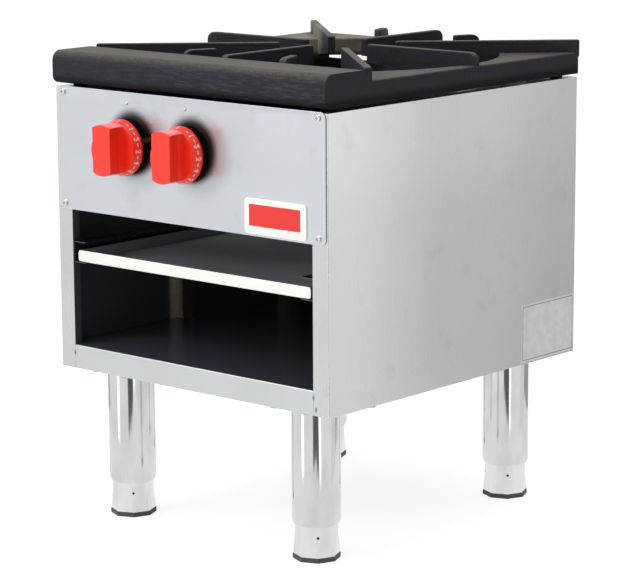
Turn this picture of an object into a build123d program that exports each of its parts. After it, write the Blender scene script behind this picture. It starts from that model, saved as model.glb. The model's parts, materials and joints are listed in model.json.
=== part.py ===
"""Gas stock pot range on four legs: stainless cabinet, cast-iron top, two ring burners, pull-out crumb tray.

Millimetres, +Z up, the floor at Z = 0 and the front towards -Y. The origin is under the middle of the whole
range, gas inlet and knobs included. Depths into the cabinet are counted from the front face of its stiles.
"""

import os
from math import atan2, cos, degrees, hypot, radians, sin, sqrt

from build123d import *

os.makedirs("parts", exist_ok=True)

# ---------------------------------------------------------------- cabinet
cabinet_width = 457.0
cabinet_depth = 494.0
cabinet_height = 364.5
floor_clearance = 196.0  # floor to the underside of the cabinet
sheet = 1.2  # stainless sheet of the folded panels
stile_width = 25.0
stile_return = 12.0
rear_flange = 20.0
top_flange = 22.0
bottom_flange = 30.0
bend_radius = 1.5
seam = 0.3  # gap where two folded panels meet
side_panel_drop = 1.3  # top edge of the side panels below the control panel's
rail_height = 30.5  # front rail folded down from the bottom shelf
rail_return = 24.0
shelf_hem = 15.0
back_panel_drop = 3.5  # top edge of the back panel below the cabinet top
pop_rivet_radius = 1.6
pop_rivet_head = 3.2
pop_rivet_rise = 1.1
pop_rivet_low = 4.0  # lowest rivet above the shelf
pop_rivet_high = 30.0  # highest rivet below the cabinet top
crossbar_drop = 32.0

# ---------------------------------------------------------------- control panel
panel_height = 157.5
panel_side_gap = 3.0
panel_thickness = 1.5
panel_corner = 8.0
panel_hem = 12.0
panel_rim = 0.6
panel_screw_inset = 14.5
panel_screw_end = 7.5
screw_radius = 2.0
screw_head_radius = 4.2
screw_head_height = 2.2
screw_head_round = 1.2
screw_cross_length = 4.6
screw_cross_width = 1.2
screw_length = 8.0
screw_recess = 1.3
window_x = -52.0
window_width = 56.0
window_height = 28.5
window_above_knobs = 5.2
window_corner = 3.0
left_rivet_x = -99.8
rivet_spacing = 100.0
rivet_drop = 13.8  # cabinet top to the index rivets
rivet_radius = 1.5
rivet_dome_radius = 2.1
plate_width = 99.0  # bare name plate
plate_height = 43.7
plate_corner = 5.0
plate_thickness = 1.6
plate_edge = 0.7
plate_margin_right = 32.0
plate_margin_bottom = 2.6
inlay_width = 82.0
inlay_height = 26.5
inlay_left = 7.8  # left and lower edges of the inlay inside the plate's
inlay_low = 10.1
inlay_depth = 0.5
rating_width = 114.0  # bare rating plate on the right side
rating_height = 76.0
rating_thickness = 0.3
rating_inset = 2.0

# ---------------------------------------------------------------- knobs
knob_drop = 68.7  # cabinet top to the knobs' axes
left_knob_x = -101.4
knob_spacing = 102.2
knob_gap = 7.5
skirt_radius = 35.6
skirt_front_radius = 31.2
skirt_edge = 2.0
skirt_depth = 12.5
grip_depth = 24.5
grip_radius = 31.9  # rounded ends of the grip
grip_half_width = 15.5  # at the grip's face
grip_waist = 13.6  # half-width where the flanks are narrowest
grip_foot_half_width = 14.8
grip_foot_depth = 8.0
grip_swell = 2.3  # thumb swell on the left flank
grip_swell_half_height = 13.5
grip_edge = 0.9
grip_merge = 1.0  # how far the grip's foot runs into the skirt
knob_wall = 4.0
knob_hub_radius = 9.0
knob_socket_depth = 16.0
socket_end_gap = 0.5
stem_radius = 4.0
stem_flat = 1.0
stem_clearance = 0.05
stem_hole_gap = 1.5
stem_end_gap = 0.5

# ---------------------------------------------------------------- gas train
valve_setback = 10.0
valve_length = 36.0
valve_radius = 13.0
valve_bonnet_radius = 17.0
valve_bonnet_depth = 4.0
valve_inlet_radius = 9.0
valve_socket = 12.0  # how far the stem reaches into the valve
hood_hex_radius = 8.0
hood_hex_length = 8.0
hood_nose_radius = 7.0
hood_nose_length = 14.0
orifice_radius = 0.9
pipe_radius = 13.35  # 3/4 inch pipe
pipe_bore = 10.5
manifold_drop = 60.0  # knobs' axes to the manifold's axis
manifold_setback = 32.0
manifold_overhang = 63.6  # left end of the manifold beyond the left knob's axis
supply_inset = 40.5  # supply pipe's axis inside the right side panel
elbow_bend = 25.0
elbow_radius = 17.5
elbow_collar_radius = 19.5
elbow_collar = 12.0
plug_radius = 17.0
plug_length = 14.0
coupling_radius = 17.5
coupling_length = 30.0
coupling_setback = 30.0  # back of the coupling ahead of the cabinet's rear face
inlet_projection = 32.0
thread_length = 20.0
thread_radius = 13.2
thread_chamfer = 1.0
inlet_hex_radius = 17.0
inlet_hex_length = 9.0
bracket_width = 20.0
bracket_thickness = 3.0
bracket_offset = 38.6  # brackets outside the two knobs' axes
clamp_width = 12.0
clamp_thickness = 2.0
clamp_ear = 9.0
pipe_clearance = 0.05

# ---------------------------------------------------------------- pilot
pilot_block = 14.0
pilot_block_height = 14.0
pilot_neck = 9.0
pilot_neck_radius = 5.0
pilot_tube_radius = 2.4
pilot_tube_bend = 14.0
pilot_burner_radius = 5.5
pilot_burner_height = 34.0
pilot_gap = 7.0  # pilot burner to the outer burner ring
pilot_strap_width = 14.0
pilot_strap = 2.0
pilot_strap_drop = 5.0  # top of the strap below the outer burner
pilot_hood_depth = 10.0
pilot_hood_wall = 1.5

# ---------------------------------------------------------------- burners
burner_clearance = 17.0  # burner tops below the casting
ring_clearance = 2.2  # burner rings above the mixer tubes
burner_chamfer = 5.0
burner_merge = 1.0  # how far feet and risers run into the ring above them
outer_ring_radius = 125.0
outer_ring_bore = 85.0
inner_ring_radius = 55.0
inner_ring_bore = 20.0
mixer_radius = 18.0
mixer_bore = 14.0
mixer_mouth_gap = 0.3
riser_radius = 16.0
outer_joint_inset = 5.0
arm_height = 11.0  # arm under the inner ring, which stands on the rear bar
arm_lug_inset = 5.0
saddle_height = 2.0
mouth_plate = 3.0
mouth_hole_radius = 7.3
air_hole_radius = 3.2
air_hole_circle = 11.3
air_holes = 4
shutter_radius = 19.0
shutter_thickness = 1.2
shutter_tab = 6.0
port_radius = 1.6
port_depth = 5.0
outer_ports = 40
inner_ports = 18
burner_foot_radius = 7.0
burner_bar_spacing = 160.0
burner_bar_width = 25.0
burner_bar_height = 22.0
burner_bar_wall = 2.0
baffle_setback = 100.0
baffle_thickness = 1.0
baffle_bottom_gap = 1.0
baffle_hem = 12.0
baffle_hole_gap = 1.5

# ---------------------------------------------------------------- crumb tray and runners
runner_height = 27.5
bay_height = 107.8  # shelf to the underside of the runners
runner_flange = 20.2
runner_front = 1.5
runner_rear_gap = 30.0
tray_clearance = 0.3
tray_sheet = 1.0
tray_depth_inside = 13.5
tray_side_gap = 7.0  # tray wall to runner web
tray_rear_gap = 39.0  # tray to the cabinet's rear face
lip_setback = 3.0
lip_thickness = 2.0
lip_overhang = 2.4
lip_corner = 3.5
lip_edge = 0.7
strap_width = 46.0
strap_flange = 12.0  # flat part in front of the rib
strap_crown = 14.0
strap_rise = 15.0
front_strap_setback = 198.0
rear_strap_inset = 32.0  # rear strap ahead of the cabinet's rear face

# ---------------------------------------------------------------- cast-iron top
casting_gap = 2.7
casting_front_overhang = 5.0
casting_rear_overhang = 3.5
side_rail_height = 27.8
front_rail_height = 41.3
front_rail_depth = 78.0
rail_nose_radius = 13.0
rail_under_radius = 10.0
rail_back_radius = 11.0
well_side_wall = 20.5
well_rear_wall = 6.0
well_front_wall = 2.5
casting_wall = 9.0
rail_wall = 11.0
rear_vent_height = 5.0  # slot under the rear wall that lets the flue gas out
rear_vent_width = 300.0
casting_edge = 3.0
well_edge = 2.0
finger_rise = 16.0  # top of the fingers above the side rails
finger_thickness = 9.6
finger_tip_depth = 23.0
finger_tip_round = 2.5
finger_edge = 1.6
straight_finger_reach = 52.0  # inner ends from the middle of the well
corner_finger_reach = 75.0
short_finger_length = 36.0
short_finger_angle = 22.5  # either side of the front and rear fingers
short_finger_ends = {90: 1.0, 270: 9.0}  # outer ends of the rear and front ones behind the well's edge
straight_end_round = 11.0
corner_end_round = 2.0
finger_root_depth = 6.0
finger_setback = 1.0  # outer ends of the straight fingers inside the casting's sides
pad_radius = 8.0
pad_inset_x = 12.5
pad_inset_y = 30.0

# ---------------------------------------------------------------- legs and feet
leg_inset_x = 69.7
leg_inset_y = 55.6
leg_radius = 30.4
leg_wall = 1.6
leg_bottom = 45.0
leg_swage = 5.0
leg_plate = 3.0
leg_plate_inner = 45.0
leg_plate_outer = 67.0
leg_plate_front = 53.0
leg_plate_rear = 50.0
leg_plate_gap = 3.0
nut_plate_height = 150.0
nut_plate_thickness = 6.0
foot_radius = 26.6
foot_clearance = 0.3
foot_wall = 2.7
foot_top = 110.0
foot_flare_radius = 28.9
foot_flare_height = 27.0
foot_hole_radius = 1.7
foot_holes = 4
screw_rod_radius = 8.0
screw_rod_top = 190.0
foot_pad_radius = 29.6
foot_pad_thickness = 6.0
foot_sides = 8
bolt_radius = 4.0
bolt_head_radius = 7.2
bolt_head_height = 4.0
bolt_hole_gap = 0.3
nut_height = 6.0
leg_bolt_offsets = ((20.0, 39.6), (-30.0, 39.6), (56.0, -36.4))  # outwards, then towards front or rear

# ---------------------------------------------------------------- places worked out from the sizes
half_width = cabinet_width / 2
cabinet_top = floor_clearance + cabinet_height
side_panel_top = cabinet_top - side_panel_drop
knob_reach = panel_thickness + knob_gap + skirt_depth + grip_depth
front = knob_reach - (knob_reach + cabinet_depth + inlet_projection) / 2
rear = front + cabinet_depth
web_inside = half_width - sheet
opening_half = half_width - stile_width
shelf_top = floor_clearance + rail_height
panel_bottom = cabinet_top - panel_height
panel_face = front - panel_thickness
knob_height = cabinet_top - knob_drop
knob_back = panel_face - knob_gap
skirt_face = knob_back - skirt_depth
knob_axes = {"left": left_knob_x, "right": left_knob_x + knob_spacing}
valve_front = front + valve_setback
valve_rear = valve_front + valve_length
hood_shoulder = valve_rear + hood_hex_length
shutter_face = hood_shoulder + hood_nose_length / 2
mixer_front = shutter_face + shutter_thickness + mixer_mouth_gap
manifold_y = front + manifold_setback
manifold_height = knob_height - manifold_drop
manifold_left_end = left_knob_x - manifold_overhang
supply_x = half_width - supply_inset
bracket_places = (knob_axes["left"] - bracket_offset, knob_axes["right"] + bracket_offset)
supply_front = manifold_y + elbow_bend
bracket_face = manifold_y + pipe_radius + pipe_clearance
coupling_rear = rear - coupling_setback
pipe_meeting = coupling_rear - coupling_length / 2
runner_web = opening_half - seam
runner_bottom = shelf_top + bay_height
tray_half = runner_web - sheet - tray_side_gap
tray_floor = runner_bottom + sheet + tray_clearance
tray_length = cabinet_depth - lip_setback - tray_rear_gap
strap_starts = (front + front_strap_setback, rear - rear_strap_inset - strap_width)
casting_bottom = cabinet_top + casting_gap
casting_front = front - casting_front_overhang
casting_rear = rear + casting_rear_overhang
front_rail_rear = casting_front + front_rail_depth
side_rail_top = casting_bottom + side_rail_height
finger_top = side_rail_top + finger_rise
well_length = casting_rear - well_rear_wall - front_rail_rear - well_front_wall
well_radius = min(half_width - well_side_wall, well_length / 2)
well_y = casting_rear - well_rear_wall - well_radius
burner_top = casting_bottom - burner_clearance
burner_bottom = knob_height + mixer_radius + ring_clearance
burner_bar_top = knob_height - mixer_radius - saddle_height
baffle_bottom = panel_bottom + baffle_bottom_gap
baffle_top = burner_top
front_bar_y = well_y - burner_bar_spacing / 2
rear_bar_y = well_y + burner_bar_spacing / 2
leg_x = half_width - leg_inset_x
leg_rows = {"front": front + leg_inset_y, "rear": rear - leg_inset_y}
leg_top = floor_clearance + sheet
outward = {"left": -1, "right": 1}
endward = {"front": -1, "rear": 1}


def slab(x, y, z, mode=Mode.ADD):
    """Adds a rectangular sheet or bar between a low and a high X, Y and Z."""
    with BuildSketch(Plane.XY.offset(z[0])) as outline:
        with Locations(((x[0] + x[1]) / 2, (y[0] + y[1]) / 2)):
            Rectangle(x[1] - x[0], y[1] - y[0])
    extrude(outline.sketch, amount=z[1] - z[0], mode=mode)


def rod(start, end, radius, bore=0.0, mode=Mode.ADD):
    """Adds a round bar, or a tube where it has a bore, between two points."""
    direction = Vector(*end) - Vector(*start)
    with BuildSketch(Plane(origin=start, z_dir=direction)) as section:
        Circle(radius)
        if bore:
            Circle(bore, mode=Mode.SUBTRACT)
    extrude(section.sketch, amount=direction.length, mode=mode)


# ================================================================ cabinet
panel_screw_places = [
    (side * (half_width - panel_screw_inset), height)
    for side in (-1, 1)
    for height in (cabinet_top - panel_screw_end, panel_bottom + panel_screw_end)
]
pop_rivet_x = half_width - rear_flange / 2
pop_rivet_heights = (
    shelf_top + pop_rivet_low,
    (shelf_top + cabinet_top) / 2,
    cabinet_top - pop_rivet_high,
)

# Right side panel: one folded sheet with the front stile, its return, and rear, top and bottom flanges.
with BuildPart() as right_side_panel:
    with BuildSketch(Plane.XY.offset(floor_clearance)):
        with BuildLine():
            Polyline(
                (half_width, front),
                (half_width, rear),
                (half_width - rear_flange, rear),
                (half_width - rear_flange, rear - sheet),
                (web_inside, rear - sheet),
                (web_inside, front + sheet),
                (opening_half + sheet, front + sheet),
                (opening_half + sheet, front + stile_return),
                (opening_half, front + stile_return),
                (opening_half, front),
                close=True,
            )
        make_face()
    extrude(amount=side_panel_top - floor_clearance)
    fillet(right_side_panel.edges().filter_by(Axis.Z).group_by(Axis.X)[-1], bend_radius)
    slab(
        (half_width - top_flange, web_inside),
        (front + sheet, rear - sheet),
        (side_panel_top - sheet, side_panel_top),
    )
    slab(
        (half_width - bottom_flange, web_inside),
        (front + rail_return + seam, rear - rail_return - seam),
        (floor_clearance, leg_top),
    )
    for _, screw_z in panel_screw_places[:2]:
        screw_x = half_width - panel_screw_inset
        rod((screw_x, front, screw_z), (screw_x, front + sheet, screw_z), screw_radius, mode=Mode.SUBTRACT)
    for rivet_z in pop_rivet_heights:
        rod(
            (pop_rivet_x, rear - sheet, rivet_z),
            (pop_rivet_x, rear, rivet_z),
            pop_rivet_radius,
            mode=Mode.SUBTRACT,
        )
    for row in endward:
        for out, along in leg_bolt_offsets[2:]:
            bolt = (leg_x + out, leg_rows[row] + endward[row] * along)
            rod((*bolt, floor_clearance), (*bolt, leg_top), bolt_radius + bolt_hole_gap, mode=Mode.SUBTRACT)
right_side_panel.part.label = "right_side_panel"
export_step(right_side_panel.part, "parts/right_side_panel.step")

with BuildPart() as left_side_panel:
    mirror(right_side_panel.part, about=Plane.YZ)
left_side_panel.part.label = "left_side_panel"
export_step(left_side_panel.part, "parts/left_side_panel.step")

# Bottom shelf: the floor of the open bay, folded down at the front as the rail between the stiles.
shelf_profile_front = front + stile_return + seam
with BuildPart() as bottom_shelf:
    shelf_z = (shelf_top - sheet, shelf_top)
    shelf_rear = rear - 2 * sheet
    slab((-runner_web, runner_web), (front, shelf_rear), shelf_z)
    slab((-web_inside, web_inside), (shelf_profile_front, shelf_rear), shelf_z)
    slab((-runner_web, runner_web), (front, front + sheet), (floor_clearance, shelf_top))
    slab((-runner_web, runner_web), (front, front + rail_return), (floor_clearance, leg_top))
    for side in (-1, 1):
        hem_x = sorted((side * (web_inside - sheet), side * web_inside))
        slab(hem_x, (shelf_profile_front, shelf_rear), (shelf_top - shelf_hem, shelf_top))
    fold = bottom_shelf.edges().filter_by(Axis.X).group_by(Axis.Z)[-1].sort_by(Axis.Y)[0]
    fillet(fold, bend_radius)
    for side in (-1, 1):
        for out, along in leg_bolt_offsets[:2]:
            bolt = (side * (leg_x + out), leg_rows["front"] - along)
            rod((*bolt, floor_clearance), (*bolt, leg_top), bolt_radius + bolt_hole_gap, mode=Mode.SUBTRACT)
bottom_shelf.part.label = "bottom_shelf"
export_step(bottom_shelf.part, "parts/bottom_shelf.step")

# Back panel, inside the rear flanges, with the hole for the gas inlet and a return under the cabinet.
with BuildPart() as back_panel:
    slab(
        (-web_inside, web_inside),
        (rear - 2 * sheet, rear - sheet),
        (floor_clearance, cabinet_top - back_panel_drop),
    )
    slab((-runner_web, runner_web), (rear - rail_return, rear - sheet), (floor_clearance, leg_top))
    rod(
        (supply_x, rear - 2 * sheet, manifold_height),
        (supply_x, rear - sheet, manifold_height),
        pipe_radius + baffle_hole_gap,
        mode=Mode.SUBTRACT,
    )
    for side in (-1, 1):
        for rivet_z in pop_rivet_heights:
            rivet_x = side * pop_rivet_x
            rod(
                (rivet_x, rear - 2 * sheet, rivet_z),
                (rivet_x, rear - sheet, rivet_z),
                pop_rivet_radius,
                mode=Mode.SUBTRACT,
            )
        for out, along in leg_bolt_offsets[:2]:
            bolt = (side * (leg_x + out), leg_rows["rear"] + along)
            rod((*bolt, floor_clearance), (*bolt, leg_top), bolt_radius + bolt_hole_gap, mode=Mode.SUBTRACT)
back_panel.part.label = "back_panel"
export_step(back_panel.part, "parts/back_panel.step")

# Pop rivets that hold the back panel to the rear flanges.
with BuildPart() as back_rivets:
    for side in (-1, 1):
        for rivet_z in pop_rivet_heights:
            with BuildSketch(Plane.YZ.offset(side * pop_rivet_x)):
                with BuildLine():
                    Polyline(
                        (rear, rivet_z + pop_rivet_head),
                        (rear, rivet_z + pop_rivet_radius - stem_clearance),
                        (rear - 2 * sheet, rivet_z + pop_rivet_radius - stem_clearance),
                        (rear - 2 * sheet, rivet_z),
                        (rear + pop_rivet_rise, rivet_z),
                    )
                    ThreePointArc(
                        (rear + pop_rivet_rise, rivet_z),
                        (rear + pop_rivet_rise * 0.8, rivet_z + pop_rivet_head * 0.6),
                        (rear, rivet_z + pop_rivet_head),
                    )
                make_face()
            revolve(axis=Axis((side * pop_rivet_x, 0, rivet_z), (0, 1, 0)))
back_rivets.part.label = "back_rivets"
export_step(back_rivets.part, "parts/back_rivets.step")

# Front crossbar: a channel behind the control panel that carries the front of the top and the manifold.
with BuildPart() as front_crossbar:
    with BuildSketch(Plane.YZ.offset(-runner_web)):
        with BuildLine():
            Polyline(
                (front, cabinet_top - crossbar_drop),
                (front, cabinet_top),
                (bracket_face, cabinet_top),
                (bracket_face, cabinet_top - crossbar_drop),
                (bracket_face - sheet, cabinet_top - crossbar_drop),
                (bracket_face - sheet, cabinet_top - sheet),
                (front + sheet, cabinet_top - sheet),
                (front + sheet, cabinet_top - crossbar_drop),
                close=True,
            )
        make_face()
    extrude(amount=2 * runner_web)
front_crossbar.part.label = "front_crossbar"
export_step(front_crossbar.part, "parts/front_crossbar.step")

# ================================================================ control panel and its trim
front_plane = Plane(origin=(0, panel_face, 0), x_dir=(1, 0, 0), z_dir=(0, -1, 0))
back_plane = Plane(origin=(0, front, 0), x_dir=(1, 0, 0), z_dir=(0, -1, 0))
panel_half = half_width - panel_side_gap
panel_middle = (panel_bottom + cabinet_top) / 2
window_z = knob_height + window_above_knobs
plate_right = panel_half - plate_margin_right + panel_side_gap
plate_x = plate_right - plate_width / 2
plate_z = panel_bottom + plate_margin_bottom + plate_height / 2
inlay_x = plate_x - plate_width / 2 + inlay_left + inlay_width / 2
inlay_z = plate_z - plate_height / 2 + inlay_low + inlay_height / 2
rivet_places = [(left_rivet_x + step * rivet_spacing, cabinet_top - rivet_drop) for step in (0, 1)]

with BuildPart() as control_panel:
    with BuildSketch(back_plane):
        with Locations((0, panel_middle)):
            RectangleRounded(2 * panel_half, panel_height, panel_corner)
        with Locations((window_x, window_z)):
            RectangleRounded(window_width, window_height, window_corner, mode=Mode.SUBTRACT)
        with Locations(*[(axis_x, knob_height) for axis_x in knob_axes.values()]):
            Circle(stem_radius + stem_hole_gap, mode=Mode.SUBTRACT)
        with Locations(*panel_screw_places):
            Circle(screw_radius, mode=Mode.SUBTRACT)
        with Locations(*rivet_places):
            Circle(rivet_radius, mode=Mode.SUBTRACT)
    extrude(amount=panel_thickness)
    rim = control_panel.faces().sort_by(Axis.Y)[0].outer_wire().edges()
    fillet(rim, panel_rim)
    hem_half = opening_half - panel_corner
    slab(
        (-hem_half, hem_half),
        (front - panel_thickness / 2, front + panel_hem),
        (panel_bottom, panel_bottom + sheet),
    )
control_panel.part.label = "control_panel"
export_step(control_panel.part, "parts/control_panel.step")

# Cross-head screws at the panel's corners.
with BuildPart() as panel_screws:
    with BuildSketch(front_plane):
        with Locations(*panel_screw_places):
            Circle(screw_head_radius)
    extrude(amount=screw_head_height)
    crowns = panel_screws.faces().group_by(Axis.Y)[0].edges()
    fillet(crowns, screw_head_round)
    with BuildSketch(front_plane):
        with Locations(*panel_screw_places):
            Circle(screw_radius - stem_clearance)
    extrude(amount=-screw_length)
    with BuildSketch(front_plane.offset(screw_head_height)):
        with Locations(*panel_screw_places):
            Rectangle(screw_cross_length, screw_cross_width)
            Rectangle(screw_cross_width, screw_cross_length)
    extrude(amount=-screw_recess, mode=Mode.SUBTRACT)
panel_screws.part.label = "panel_screws"
export_step(panel_screws.part, "parts/panel_screws.step")

# Domed index rivets above the knobs.
with BuildPart() as index_rivets:
    for rivet_x, rivet_z in rivet_places:
        with Locations((rivet_x, panel_face, rivet_z)):
            Sphere(rivet_dome_radius)
    slab((-half_width, half_width), (panel_face, rear), (0, cabinet_top), mode=Mode.SUBTRACT)
    with BuildSketch(front_plane):
        with Locations(*rivet_places):
            Circle(rivet_radius - stem_clearance)
    extrude(amount=-panel_thickness)
index_rivets.part.label = "index_rivets"
export_step(index_rivets.part, "parts/index_rivets.step")

# Bare name plate with a plain inlay.
with BuildPart() as name_plate:
    with BuildSketch(front_plane):
        with Locations((plate_x, plate_z)):
            RectangleRounded(plate_width, plate_height, plate_corner)
    extrude(amount=plate_thickness)
    fillet(name_plate.faces().sort_by(Axis.Y)[0].outer_wire().edges(), plate_edge)
    with BuildSketch(front_plane.offset(plate_thickness)):
        with Locations((inlay_x, inlay_z)):
            Rectangle(inlay_width, inlay_height)
    extrude(amount=-inlay_depth, mode=Mode.SUBTRACT)
name_plate.part.label = "name_plate"
export_step(name_plate.part, "parts/name_plate.step")

with BuildPart() as name_plate_inlay:
    with BuildSketch(front_plane.offset(plate_thickness)):
        with Locations((inlay_x, inlay_z)):
            Rectangle(inlay_width, inlay_height)
    extrude(amount=-inlay_depth)
name_plate_inlay.part.label = "name_plate_inlay"
export_step(name_plate_inlay.part, "parts/name_plate_inlay.step")

# Bare rating plate at the lower rear of the right side.
with BuildPart() as rating_plate:
    slab(
        (half_width, half_width + rating_thickness),
        (rear - rating_inset - rating_width, rear - rating_inset),
        (floor_clearance + rating_inset, floor_clearance + rating_inset + rating_height),
    )
rating_plate.part.label = "rating_plate"
export_step(rating_plate.part, "parts/rating_plate.step")

# ================================================================ crumb tray, runners and their straps
runner_top = runner_bottom + runner_height
runner_rear = rear - runner_rear_gap
with BuildPart() as right_tray_runner:
    with BuildSketch(Plane.XZ.offset(-(front + runner_front))):
        with BuildLine():
            Polyline(
                (runner_web, runner_bottom),
                (runner_web, runner_top),
                (runner_web - runner_flange, runner_top),
                (runner_web - runner_flange, runner_top - sheet),
                (runner_web - sheet, runner_top - sheet),
                (runner_web - sheet, runner_bottom + sheet),
                (runner_web - runner_flange, runner_bottom + sheet),
                (runner_web - runner_flange, runner_bottom),
                close=True,
            )
        make_face()
    extrude(amount=-(runner_rear - front - runner_front))
right_tray_runner.part.label = "right_tray_runner"
export_step(right_tray_runner.part, "parts/right_tray_runner.step")

with BuildPart() as left_tray_runner:
    mirror(right_tray_runner.part, about=Plane.YZ)
left_tray_runner.part.label = "left_tray_runner"
export_step(left_tray_runner.part, "parts/left_tray_runner.step")

# Ribbed straps on the side walls, standing on the shelf and turned in under the runner.
with BuildPart() as right_runner_straps:
    for strap_start in strap_starts:
        crown_start = strap_start + strap_flange
        with BuildSketch(Plane.XY.offset(shelf_top)):
            with BuildLine():
                Polyline(
                    (web_inside, strap_start),
                    (web_inside, crown_start),
                    (web_inside - strap_rise + sheet, crown_start),
                    (web_inside - strap_rise + sheet, crown_start + strap_crown),
                    (web_inside, crown_start + strap_crown),
                    (web_inside, strap_start + strap_width),
                    (web_inside - sheet, strap_start + strap_width),
                    (web_inside - sheet, crown_start + strap_crown + sheet),
                    (web_inside - strap_rise, crown_start + strap_crown + sheet),
                    (web_inside - strap_rise, crown_start - sheet),
                    (web_inside - sheet, crown_start - sheet),
                    (web_inside - sheet, strap_start),
                    close=True,
                )
            make_face()
        extrude(amount=runner_bottom - shelf_top)
        slab(
            (runner_web - runner_flange, web_inside),
            (strap_start, strap_start + strap_width),
            (runner_bottom - sheet, runner_bottom),
        )
right_runner_straps.part.label = "right_runner_straps"
export_step(right_runner_straps.part, "parts/right_runner_straps.step")

with BuildPart() as left_runner_straps:
    mirror(right_runner_straps.part, about=Plane.YZ)
left_runner_straps.part.label = "left_runner_straps"
export_step(left_runner_straps.part, "parts/left_runner_straps.step")

# Crumb tray: a shallow pan behind a thicker lip with rounded lower corners.
tray_top = tray_floor + tray_depth_inside + tray_sheet
with BuildPart() as crumb_tray:
    tray_front = front + lip_setback
    slab((-tray_half, tray_half), (tray_front, tray_front + tray_length), (tray_floor, tray_top))
    slab(
        (-tray_half + tray_sheet, tray_half - tray_sheet),
        (tray_front + lip_thickness, tray_front + tray_length - tray_sheet),
        (tray_floor + tray_sheet, tray_top),
        mode=Mode.SUBTRACT,
    )
    lip_plane = Plane(origin=(0, tray_front + lip_thickness, 0), x_dir=(1, 0, 0), z_dir=(0, -1, 0))
    with BuildSketch(lip_plane):
        with Locations((0, (tray_floor + tray_top) / 2)):
            RectangleRounded(2 * (tray_half + lip_overhang), tray_top - tray_floor, lip_corner)
    extrude(amount=lip_thickness)
    fillet(crumb_tray.faces().sort_by(Axis.Y)[0].outer_wire().edges(), lip_edge)
crumb_tray.part.label = "crumb_tray"
export_step(crumb_tray.part, "parts/crumb_tray.step")

# ================================================================ cast-iron top
straight_span = {
    0: half_width,
    90: casting_rear - well_y,
    180: half_width,
    270: well_y - front_rail_rear + casting_wall,
}
corner_points = [
    (side * half_width, corner_y - well_y)
    for side in (-1, 1)
    for corner_y in (front_rail_rear, casting_rear)
]


def finger(angle, reach, end, root, end_round):
    """Adds one finger: an upright plate from its tip near the middle to its rounded end on the rim."""
    heading = Vector(cos(radians(angle)), sin(radians(angle)), 0)
    upright = Plane(origin=(0, well_y, 0), x_dir=heading, z_dir=heading.cross(Vector(0, 0, 1)))
    with BuildSketch(upright) as side_view:
        with BuildLine():
            Polyline(
                (reach, finger_top - finger_tip_depth),
                (reach, finger_top),
                (end, finger_top),
                (end, side_rail_top - finger_root_depth),
                (root, side_rail_top - finger_root_depth),
                (root, casting_bottom + finger_root_depth),
                close=True,
            )
        make_face()
        top_corners = side_view.vertices().group_by(Axis.Y)[-1].sort_by(Axis.X)
        fillet(top_corners[0], finger_tip_round)
        top_corners = side_view.vertices().filter_by(lambda v: v.Y > side_rail_top).sort_by(Axis.X)
        fillet(top_corners[-1], end_round)
    extrude(side_view.sketch, amount=finger_thickness / 2, both=True)


with BuildPart() as casting_fingers:
    finger_root = well_radius + casting_wall / 2
    for angle, span in straight_span.items():
        finger(angle, straight_finger_reach, span - finger_setback, finger_root, straight_end_round)
    for corner_x, corner_y in corner_points:
        heading = degrees(atan2(corner_y, corner_x))
        finger(heading, corner_finger_reach, hypot(corner_x, corner_y), finger_root, corner_end_round)
    for middle, beyond in short_finger_ends.items():
        for step in (-short_finger_angle, short_finger_angle):
            finger(
                middle + step,
                well_radius - short_finger_length,
                well_radius + beyond,
                min(finger_root, well_radius + beyond / 2),
                straight_end_round,
            )
    crests = casting_fingers.edges().filter_by(
        lambda e: e.bounding_box().min.Z > finger_top - 2 * straight_end_round
        and abs(e.tangent_at(0.5).Z) < 0.99
        and e.length > 1.5 * finger_thickness
    )
    fillet(crests, finger_edge)
    slab(
        (-half_width, half_width),
        (casting_front, casting_rear),
        (casting_bottom, finger_top),
        mode=Mode.INTERSECT,
    )

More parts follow.
